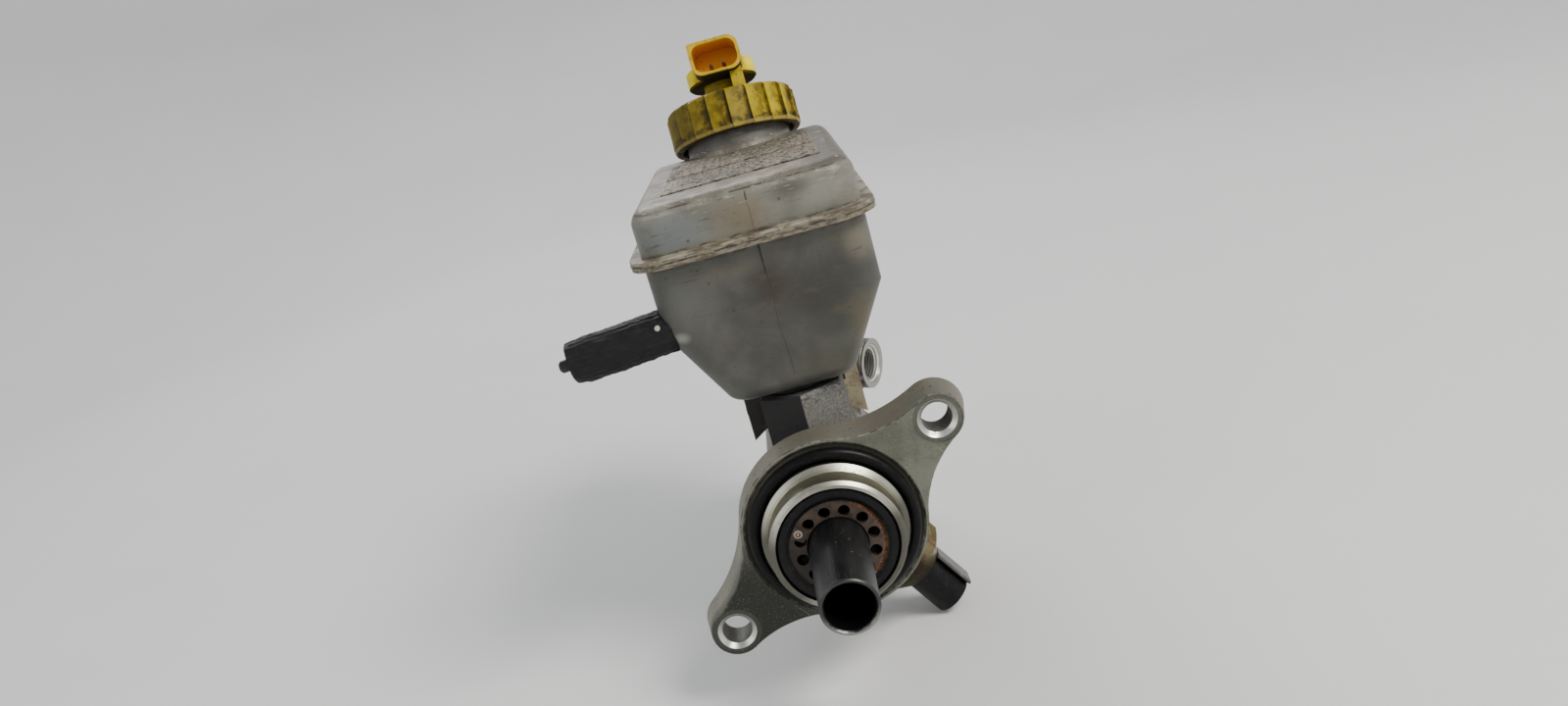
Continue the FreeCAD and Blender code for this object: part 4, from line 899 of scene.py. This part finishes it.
def cap_grips():
    """Worn, uneven bead along the crest of each grip of the screw ring."""
    turn = Matrix.Rotation(-CAP_LEAN, 4, "X")
    verts, faces = [], []
    for i in range(GRIPS):
        a = 2 * math.pi * i / GRIPS + math.radians(0.9)
        rows = []
        for h in (1.7, 2.3, 4.0, 5.5, 7.0, 8.5, 10.0, 11.4, 12.1):
            rise = 0.0 if h in (1.7, 12.1) else 0.06 + 0.12 * noise.noise(Vector((i * 1.7, h * 0.6, 0)))
            ring = []
            for da, dr in ((-0.008, -0.3), (-0.004, rise * 0.6), (0.003, rise), (0.016, -0.08),
                           (0.016, -0.4)):
                reach = GRIP_CREST_R + dr
                at = Vector((reach * math.cos(a + da), reach * math.sin(a + da), h))
                ring.append(turn @ at + CAP_BASE)
            rows.append(ring)
        v, f = tube(rows)
        base = len(verts)
        verts += v
        faces += [tuple(base + k for k in face) for face in f]
    piece("cap_grip_crests", verts, faces, "yellow_cap", "cap_screw_ring")


def rounded_path(half_x, y0, y1, corner, spacing):
    """Points and outward directions round the reservoir's plan."""
    runs = []
    x0, x1 = TANK_X - half_x, TANK_X + half_x
    centres = [(x1 - corner, y0 + corner, -90), (x1 - corner, y1 - corner, 0),
               (x0 + corner, y1 - corner, 90), (x0 + corner, y0 + corner, 180)]
    for px, py, begin in centres:
        for i in range(9):
            a = math.radians(begin + 90 * i / 8)
            runs.append((Vector((px + corner * math.cos(a), py + corner * math.sin(a), 0)),
                         Vector((math.cos(a), math.sin(a), 0))))
    points = []
    for (p, n), (q, m) in zip(runs, runs[1:] + runs[:1]):
        parts = max(1, int((q - p).length / spacing))
        for i in range(parts):
            f = i / parts
            points.append((p.lerp(q, f), n.lerp(m, f).normalized()))
    return points


def seam_flash():
    """Ragged weld flash squeezed out between the two shells."""
    rng = random.Random(7)
    path = rounded_path(SEAM_HALF_W, 8.5, 139.5, 11, 0.8)
    verts, faces = [], []
    count = len(path)
    for at, out in path:
        reach = 0.12 + 0.3 * abs(noise.noise(at * 0.35)) + 0.12 * rng.random()
        if at.y > 136:
            reach = 0.0
        lift = 0.12 * noise.noise(at * 0.2 + Vector((5, 0, 0)))
        for dr, dz in ((-0.4, -0.16), (reach - 0.1, -0.14), (reach, 0.0), (reach - 0.1, 0.14),
                       (-0.4, 0.16)):
            verts.append(at + out * dr + Z * (SEAM_Z + lift + dz))
    for i in range(count):
        for j in range(5):
            a, b = i * 5 + j, i * 5 + (j + 1) % 5
            c = ((i + 1) % count) * 5
            faces.append((a, b, c + (j + 1) % 5, c + j))
    piece("seam_flash", verts, faces, "tank_plastic", "cylinder")


def ridge(name, points, normals, width, height, slot, body):
    """Low rounded ridge along points that lie on a surface."""
    rows = []
    last = len(points) - 1
    for i, (p, n) in enumerate(zip(points, normals)):
        ahead = (points[min(i + 1, last)] - points[max(i - 1, 0)]).normalized()
        side = ahead.cross(n).normalized()
        rise = height * (0.75 + 0.5 * abs(noise.noise(p * 0.5)))
        if i in (0, last):
            rise = 0.02
        rows.append([p - side * width / 2 - n * 0.3, p - side * width / 4 + n * rise * 0.8,
                     p + n * rise, p + side * width / 4 + n * rise * 0.8, p + side * width / 2 - n * 0.3])
    verts, faces = tube(rows)
    piece(name, verts, faces, slot, body)


def mould_lines():
    """Parting ridges of the reservoir's shells and of the casting."""
    front = -Y
    for name, low, high in (("mould_line_lower", 43.0, 80.8), ("mould_line_upper", 84.4, 92.2)):
        points = [Vector((0.4 + 0.25 * math.sin(z * 0.3), TANK_FRONT, z))
                  for z in (low + (high - low) * i / 30 for i in range(31))]
        ridge(name, points, [front] * len(points), 0.5, 0.16, "tank_plastic", "cylinder")
    for name, side in (("parting_ridge_left", -1), ("parting_ridge_right", 1)):
        points = [Vector((side * BARREL_SIDE, y, 0.2)) for y in (17.0 + 104.0 * i / 60 for i in range(61))]
        if side > 0:
            points = [p for p in points if p.y < 96]
        ridge(name, points, [X * side] * len(points), 1.1, 0.35, "cast_aluminium", "cylinder")


def deck_texture():
    """Spark-eroded grain standing on the deck's two pads."""
    rng = random.Random(21)
    verts, faces = [], []
    for y0, y1 in ((29.6, 55.4), (59.6, 89.4)):
        for _ in range(int((y1 - y0) * 46 * 0.62)):
            cx, cy = rng.uniform(-PAD_HALF_W, PAD_HALF_W), rng.uniform(y0, y1)
            r, h = rng.uniform(0.28, 0.6), rng.uniform(0.08, 0.22)
            sides, base = 6, len(verts)
            spin = rng.uniform(0, 1)
            for level, shrink in ((DECK_TOP, 1.0), (DECK_TOP + 0.05 + h, 0.5)):
                for k in range(sides):
                    a = 2 * math.pi * k / sides + spin
                    verts.append((cx + r * shrink * math.cos(a), cy + r * shrink * math.sin(a), level))
            for k in range(sides):
                n = (k + 1) % sides
                faces.append((base + k, base + n, base + sides + n, base + sides + k))
            faces.append(tuple(base + sides + k for k in range(sides)))
    piece("deck_grain", verts, faces, "tank_plastic", "cylinder")


def disc_serration():
    """Comb of fine copper teeth over the support ring's inner edge, on its right-hand side."""
    verts, faces = [], []
    for i in range(46):
        a = math.radians(-48 + 2 * i)
        reach = 13.7 + 0.9 * abs(noise.noise(Vector((i * 0.37, 0, 0)))) - 0.5 * abs(a)
        out = X * math.cos(a) + Z * math.sin(a)
        side = X * -math.sin(a) + Z * math.cos(a)
        rows = []
        for r, w, y in ((12.7, 0.14, -11.26), (13.4, 0.13, -11.5), (reach, 0.05, -11.62)):
            at = out * r + Y * y
            rows.append([at - side * w + Y * 0.12, at + side * w + Y * 0.12, at + side * w * 0.6 - Y * 0.05,
                         at - side * w * 0.6 - Y * 0.05])
        v, f = tube(rows)
        base = len(verts)
        verts += v
        faces += [tuple(base + k for k in face) for face in f]
    piece("disc_serration", verts, faces, "contact_metal", "cylinder", smooth=False)


make_camera()
make_lights()
make_stage()
dress_nodes()
port_threads()
rubber_hose()
springs()
cap_grips()
seam_flash()
mould_lines()
deck_texture()
disc_serration()
